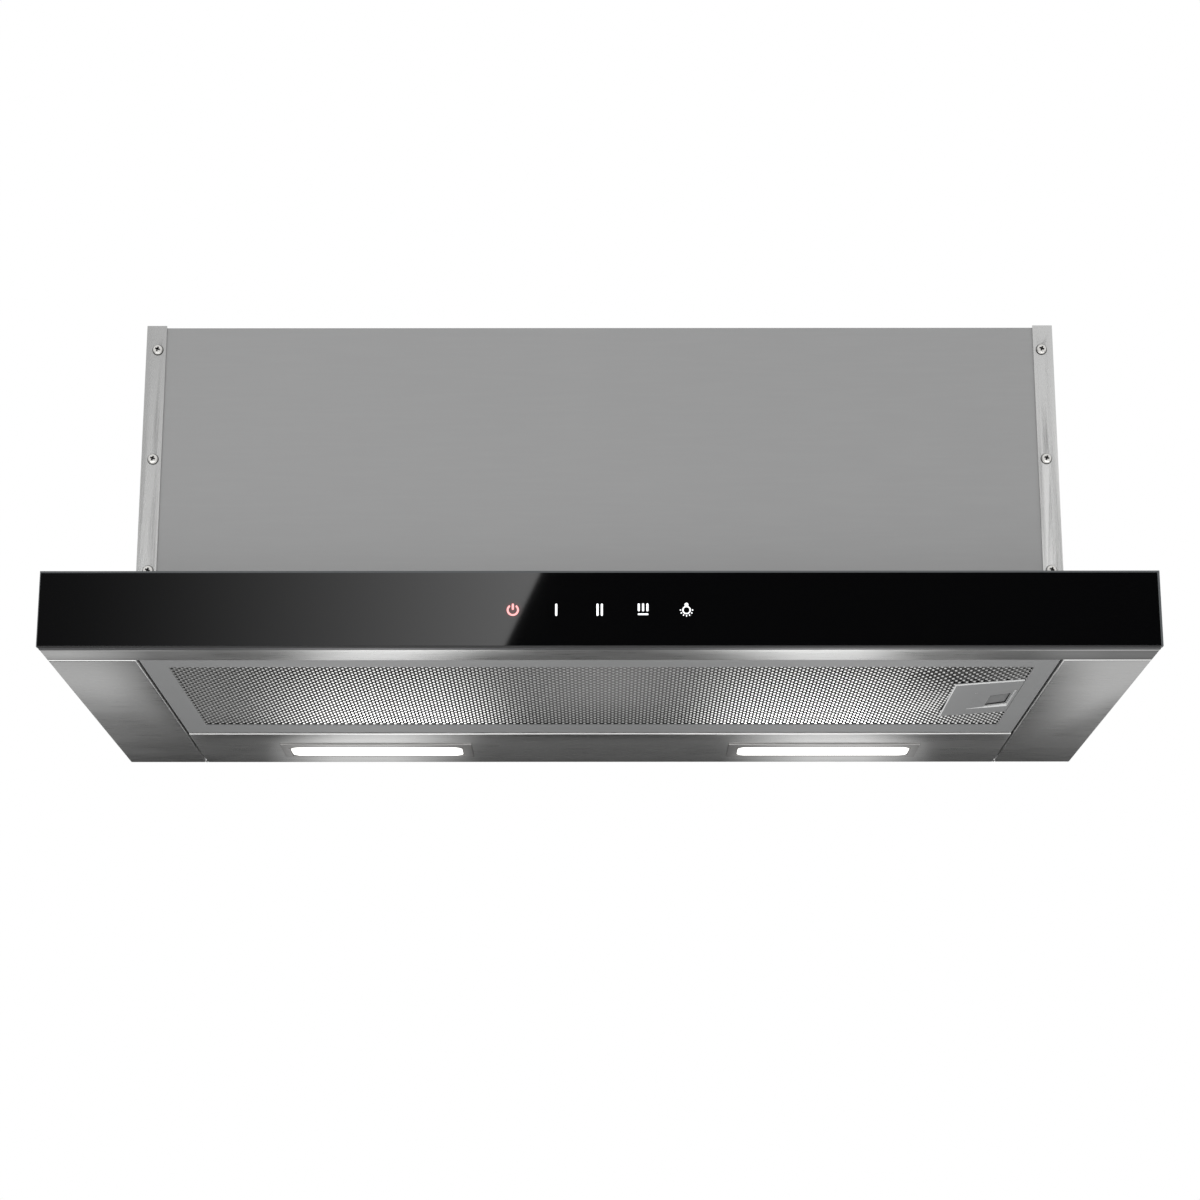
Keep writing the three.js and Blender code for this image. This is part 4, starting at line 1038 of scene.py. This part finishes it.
class HOOD_OT_drawer_box(bpy.types.Operator):
    """Drawer sides, filter seat, top plate and rear tie"""
    bl_idname = "hood.drawer_box"
    bl_label = "Drawer box"

    def execute(self, context):
        zinc = zinc_sheet()
        for side in SIDES:
            soften(f"drawer_side_{side}", zinc)
        soften("filter_seat", zinc)
        soften("drawer_rear_tie", zinc)
        soften("visor_top", steel_across())
        return {"FINISHED"}


PLATE_RISE = 0.003  # how much higher the latch plate's foot lies at its right end
PLATE_WALL = 0.0006  # from the edge of the plate's dish to its flat floor


class HOOD_OT_front_filter(bpy.types.Operator):
    """Grease filter frame, inner layers and latch"""
    bl_idname = "hood.front_filter"
    bl_label = "Front filter"

    def execute(self, context):
        metal = filter_aluminium()
        soften("filter_frame", metal, 0.0004)
        soften("filter_layers", filter_wool())
        self.latch_plate(metal)
        # the slider's aluminium is darkened to 0.7 as painted shade, for the tongue seen in the slot
        self.latch_slider(filter_aluminium("Worn_aluminium", 0.7))
        return {"FINISHED"}

    def latch_slider(self, metal):
        """The slider, with the tongue that closes the plate's slot from above; its tab ends at the tongue."""
        low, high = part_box("latch_slider")
        slot, dish, floor = self.recess()
        behind, above, thick, clear_of_dish = 0.0058, 0.00105, 0.001, 0.0006
        shape = bmesh.new()
        for vert in add_box(shape, (slot[0] - 0.0036, slot[2] + behind, above),
                            (slot[1] - 0.0003, slot[3] + behind, above + thick)):
            vert.co.z += floor(vert.co.x)
        lift = floor(dish[1]) + clear_of_dish - low.z
        joined(soften("latch_slider", metal, 0.0003, move=carried(high.x, lift)), smooth(shape, "tongue"))

    def recess(self):
        """The slot's and the dish's edges (x, x, y, y), from the plate's right end and the slider's tab, and
        the dish's underside over x."""
        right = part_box("latch_plate")[1].x
        tab_low, tab_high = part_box("latch_slider")
        slot = (right - 0.0148, right - 0.0026, tab_low.y - 0.0042, tab_high.y + 0.0003)
        dish = (right - 0.0250, right - 0.0014, slot[2] - 0.0126, slot[3] + 0.0025)
        shallow, deep = self.plate_foot(dish[0]), self.plate_foot(dish[1]) + 0.0014

        def floor(x):
            return shallow + (deep - shallow) * (x - dish[0]) / (dish[1] - dish[0])

        return slot, dish, floor

    def plate_foot(self, x):
        low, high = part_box("latch_plate")
        return low.z + PLATE_RISE * (x - low.x) / (high.x - low.x)

    def latch_plate(self, metal):
        """The sloping plate with its dished finger recess, the slot for the tab, and the rails above."""
        low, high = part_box("latch_plate")
        slot, dish, floor = self.recess()
        thick, dish_thick = 0.0010, 0.0005
        across = [low.x, dish[0], slot[0], slot[1], dish[1] - 0.0002, dish[1], high.x]
        along = [low.y, dish[2], dish[2] + PLATE_WALL, slot[2], slot[3], dish[3] - PLATE_WALL, dish[3], high.y]

        def dished(i, k):
            return 1 < i < 5 and 1 < k < 6

        def foot(i, k):
            return floor(across[i]) if dished(i, k) else self.plate_foot(across[i])

        def layer(shape, rise):
            return [[shape.verts.new((across[i], along[k], foot(i, k) + rise(i, k)))
                     for k in range(len(along))] for i in range(len(across))]

        shape = bmesh.new()
        lower = layer(shape, lambda i, k: 0.0)
        upper = layer(shape, lambda i, k: dish_thick if dished(i, k) else thick)
        for i in range(len(across) - 1):
            for k in range(len(along) - 1):
                if i == 2 and k == 3:
                    continue
                for grid in (lower, upper):
                    shape.faces.new((grid[i][k], grid[i + 1][k], grid[i + 1][k + 1], grid[i][k + 1]))
        outer = [edge for edge in open_edges(shape) if self.on_rim(edge, low, high)]
        bmesh.ops.bridge_loops(shape, edges=outer)
        bmesh.ops.bridge_loops(shape, edges=open_edges(shape))
        bmesh.ops.recalc_face_normals(shape, faces=shape.faces)
        bmesh.ops.dissolve_limit(shape, angle_limit=FLAT, verts=shape.verts, edges=shape.edges)
        self.roll_edges(shape, low, high)
        rail = 0.001
        top = low.z + PLATE_RISE + thick + 0.0001
        for y in (low.y, high.y - rail):
            add_box(shape, (low.x + rail, y, top), (high.x, y + rail, high.z))
        add_box(shape, (low.x + rail, low.y + rail, high.z - rail),
                (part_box("latch_slider")[0].x - 0.0003, high.y - rail, high.z))
        add_piece("latch_plate_finished", smooth(shape, "latch_plate_finished"), metal, ["latch_plate"])

    def roll_edges(self, shape, low, high):
        """Rolls the plate's outer edge wide and its recess narrow, and marks what is bent for a painted
        highlight.
        """
        sharp = [edge for edge in shape.edges if edge.calc_face_angle(0) > math.radians(25)]
        outer = [edge for edge in sharp if self.on_rim(edge, low, high)
                 and min(vert.co.x for vert in edge.verts) < high.x - 0.0001
                 and abs(edge.verts[0].co.z - self.plate_foot(edge.verts[0].co.x)) < NEAR]
        inner = [edge for edge in sharp if edge not in outer]
        for edges, width, segments in ((outer, 0.0009, 4), (inner, 0.0003, 2)):
            left = [edge for edge in edges if edge.is_valid]
            bmesh.ops.bevel(shape, geom=left, offset=width, segments=segments, affect="EDGES", profile=0.5,
                            clamp_overlap=True)
        # painted highlight on the tilted faces of the bends
        bright = shape.faces.layers.float.new("burnished")
        for face in shape.faces:
            face[bright] = 1.0 if -0.95 < face.normal.z < -0.1 else 0.0

    def on_rim(self, edge, low, high):
        middle = (edge.verts[0].co + edge.verts[1].co) / 2
        gaps = (middle.x - low.x, high.x - middle.x, middle.y - low.y, high.y - middle.y)
        return min(gaps) < 1e-5


class HOOD_OT_filter_net(bpy.types.Operator):
    """Expanded aluminium net of the front filter"""
    bl_idname = "hood.filter_net"
    bl_label = "Filter net"

    def execute(self, context):
        size = sizes()
        low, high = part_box("filter_mesh")
        latch_low, latch_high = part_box("latch_plate")
        across, along = size.net_across, size.net_along
        points = []
        first, lift, thickness = along * 0.4, 0.0002, 0.00035
        rows = int((high.y - low.y - first) / (along / 2) + 0.7)
        columns = int((high.x - low.x) / across)
        for row in range(rows):
            y = low.y + first + row * along / 2
            beside_plate = latch_low.y - along / 8 < y < latch_high.y + along / 4
            for column in range(columns):
                x = low.x + across / 2 + (column + (row % 2) / 2) * across - across / 4
                over_plate = beside_plate and x > latch_low.x + across / 4
                if not over_plate and x < high.x - across * 0.3:
                    points.append((x, y, low.z + lift - self.sag(x, y, low.z, latch_low, latch_high)))
        values = {
            "Strand Length": math.hypot(across, along) / 2,
            "Strand Width": size.strand_width,
            "Thickness": thickness,
            "Slant": math.atan2(along, across),
            "Lean": -size.strand_lean,
            "Knuckle Width": across * 0.30,
            "Knuckle Length": size.knuckle_length,
            "Finish": mesh_aluminium(),
        }
        mesh = grown("filter_mesh_finished", points, net_recipe(), values)
        add_piece("filter_mesh_finished", mesh, values["Finish"], ["filter_mesh"])
        return {"FINISHED"}

    def sag(self, x, y, level, low, high):
        """How far the net is pressed down towards the front and left edges of the latch plate's box."""
        ahead, beside = max(low.y - y, 0.0), max(low.x - x, 0.0)
        share = min(max((x - low.x) / (high.x - low.x), 0.0), 1.0)
        above_foot, easing = 0.0008, 0.02
        depth = level - (low.z + PLATE_RISE * share + above_foot)
        near = max(0.0, 1.0 - math.hypot(ahead, beside) / sizes().net_sag)
        behind = min(max((high.y - y) / (high.y - low.y - easing), 0.0), 1.0)
        return depth * near * behind


# ------------------------------------------------------------------ stage
def glow_material(name):
    material = bpy.data.materials.new(name)
    material.use_nodes = True
    material.node_tree.nodes.clear()
    return material, Tree(material.node_tree)


def area_light(name, place, target, width, height, power):
    light = bpy.data.lights.new(name, "AREA")
    light.shape = "RECTANGLE"
    light.size, light.size_y = width, height
    light.energy = power
    lamp = placed(name, light)
    lamp.location = place
    lamp.rotation_euler = (Vector(target) - Vector(place)).to_track_quat("-Z", "Y").to_euler()
    lamp.visible_glossy = False


def lamp_pools(x, near, full, far, dark):
    """One between two distances either side of the centre, with soft ends."""
    return abs(x).risen(near, full - near) * abs(x).risen(dark, far - dark)


class Card:
    """A flat card that only reflections see, with a tree for its light."""

    def __init__(self, name, second):
        self.name = name
        self.material, self.tree = glow_material(name)
        place = self.tree.add("ShaderNodeTexCoord", output=3)
        self.across, self.other = (
            self.tree.add("ShaderNodeSeparateXYZ", None, {0: place}, output=k) for k in (0, second))

    def show(self, strength, corners):
        light = self.tree.add("ShaderNodeEmission", None, {"Strength": strength})
        self.tree.add("ShaderNodeOutputMaterial", None, {"Surface": light})
        mesh = bpy.data.meshes.new(self.name)
        mesh.from_pydata(corners, [], [(0, 1, 2, 3)])
        mesh.materials.append(self.material)
        card = placed(self.name, mesh)
        for ray in ("camera", "diffuse", "shadow", "transmission", "volume_scatter"):
            setattr(card, f"visible_{ray}", False)


class HOOD_OT_stage(bpy.types.Operator):
    """Camera, pale floor, white backdrop, soft lights and reflection cards"""
    bl_idname = "hood.stage"
    bl_label = "Stage"

    def execute(self, context):
        self.camera(context)
        self.world(context)
        self.floor()
        self.lights()
        self.front_card()
        self.under_card()
        self.below_card()
        return {"FINISHED"}

    def camera(self, context):
        camera = bpy.data.cameras.new("View")
        camera.lens = 80.824
        camera.sensor_width = 36
        holder = placed("View", camera)
        holder.location = (0.00112, -1.68376, -0.3923)
        turned = Matrix.Rotation(math.radians(0.039), 3, "Z") @ Matrix.Rotation(math.radians(105.2611), 3, "X")
        holder.rotation_euler = (turned @ Matrix.Rotation(math.radians(-0.0233), 3, "Z")).to_euler()
        context.scene.camera = holder
        context.scene.view_settings.view_transform = "Standard"

    def world(self, context):
        world = bpy.data.worlds.new("Studio")
        world.use_nodes = True
        context.scene.world = world
        world.node_tree.nodes.clear()
        tree = Tree(world.node_tree)
        seen = tree.add("ShaderNodeLightPath", output="Is Camera Ray")
        for output in ("Is Glossy Ray", "Is Transmission Ray"):
            seen = seen.larger(tree.add("ShaderNodeLightPath", output=output))
        plain = tree.add("ShaderNodeBackground", None, {"Color": (0.95, 0.975, 1.0, 1), "Strength": 0.55})
        white = tree.add("ShaderNodeBackground", None, {"Color": (1, 1, 1, 1), "Strength": 1.0})
        mixed = tree.add("ShaderNodeMixShader", None, {0: seen, 1: plain, 2: white})
        tree.add("ShaderNodeOutputWorld", None, {"Surface": mixed})

    def floor(self):
        level = -1.55
        shape = bmesh.new()
        bmesh.ops.create_grid(shape, x_segments=8, y_segments=8, size=4.0)
        for vert in shape.verts:
            vert.co.z = level
        floor = placed("Floor", smooth(shape, "Floor"))
        surface = Finish("Pale_floor", (0.86, 0.86, 0.85), 0.7)
        cloud = surface.noise((3, 3, 3), 3.0, 0.5)
        surface.put(Base_Color=surface.tint(cloud, (0.84, 0.84, 0.83), (0.88, 0.88, 0.87)))
        floor.data.materials.append(surface.material)

    def lights(self):
        area_light("Key", (-1.3, -2.2, 1.5), (0, -0.15, 0.03), 1.4, 1.0, 26)
        area_light("Fill", (1.6, -1.9, 0.8), (0, -0.15, 0.0), 1.2, 1.0, 12)
        area_light("Under", (0.0, -1.0, -1.35), (0, -0.15, -0.04), 1.2, 0.8, 9)
        area_light("Back", (0.3, 2.2, 1.2), (0, -0.1, 0.05), 1.4, 1.0, 12)

    def front_card(self):
        """The soft light whose slanted edge the glass mirrors, black to its right."""
        card = Card("Front_card", 2)
        x, z = card.across, card.other
        y, foot, top, half = -3.0, 0.5, 0.81, 1.3
        lit = x < (z - 0.647) * 0.46 - 0.1505
        ramp = x.risen(-0.90, 0.80) ** 1.9
        card.show(lit * (ramp * 2.75 + 0.08),
                  [(-half, y, foot), (half, y, foot), (half, y, top), (-half, y, top)])

    def under_card(self):
        """A card close behind and below, for the flat steel underneath to mirror."""
        card = Card("Under_card", 2)
        x, z = card.across, card.other
        y, foot, top, half = 0.05, -0.7, -0.037, 0.8
        glow = lamp_pools(x, 0.08, 0.135, 0.175, 0.22)
        outer = abs(x).risen(0.27, 0.06) * z.risen(-0.055, -0.06)
        low = z.risen(-0.046, -0.02) * 0.6 + 0.4
        deep = z.risen(-0.09, -0.02)
        card.show((glow * 1.08 + 0.15 - deep * (glow * 0.2 + 0.12)) * low + outer * 0.76,
                  [(-half, y, foot), (half, y, foot), (half, y, top), (-half, y, top)])

    def below_card(self):
        """A wide card below, for the net's leaning strands and the folded edges to mirror."""
        card = Card("Below_card", 1)
        x, y = card.across, card.other
        z, front, back, half = -0.22, -0.8, 0.05, 0.7
        glow = lamp_pools(x, 0.055, 0.105, 0.165, 0.23)
        wings = abs(x).risen(0.24, 0.04)
        beyond = x.risen(0.14, 0.06) * 0.45
        nearer = y.risen(-0.29, 0.20)
        ahead = y.risen(-0.31, -0.04)
        dimmed = wings * (0.19 - (x < 0.0) * 0.065)
        card.show((glow * 2.9 + beyond) * nearer + ahead * 2.3 + 0.35 - dimmed,
                  [(-half, front, z), (half, front, z), (half, back, z), (-half, back, z)])


PIECES = (
    HOOD_OT_casing, HOOD_OT_screws, HOOD_OT_rivets, HOOD_OT_lamps, HOOD_OT_runners, HOOD_OT_rear_filter,
    HOOD_OT_blower, HOOD_OT_outlet, HOOD_OT_electrics, HOOD_OT_glass_front, HOOD_OT_touch_marks,
    HOOD_OT_drawer_box, HOOD_OT_front_filter, HOOD_OT_filter_net, HOOD_OT_stage,
)


class HOOD_PT_panel(bpy.types.Panel):
    """Lists the hood's pieces, sizes and colours"""
    bl_idname = "HOOD_PT_panel"
    bl_label = "Range hood"
    bl_space_type = "VIEW_3D"
    bl_region_type = "UI"
    bl_category = "Range Hood"

    def draw(self, context):
        for group in (context.scene.hood_sizes, context.scene.hood_colours):
            for name in type(group).__annotations__:
                self.layout.prop(group, name)
        for piece in PIECES:
            self.layout.operator(piece.bl_idname)


CLASSES = (HoodSizes, HoodColours, *PIECES, HOOD_PT_panel)


def register():
    for item in CLASSES:
        bpy.utils.register_class(item)
    bpy.types.Scene.hood_sizes = PointerProperty(type=HoodSizes)
    bpy.types.Scene.hood_colours = PointerProperty(type=HoodColours)


def unregister():
    del bpy.types.Scene.hood_colours
    del bpy.types.Scene.hood_sizes
    for item in reversed(CLASSES):
        bpy.utils.unregister_class(item)


def main():
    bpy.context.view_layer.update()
    register()
    for piece in PIECES:
        group, name = piece.bl_idname.split(".")
        getattr(getattr(bpy.ops, group), name)()


if __name__ == "__main__":
    main()
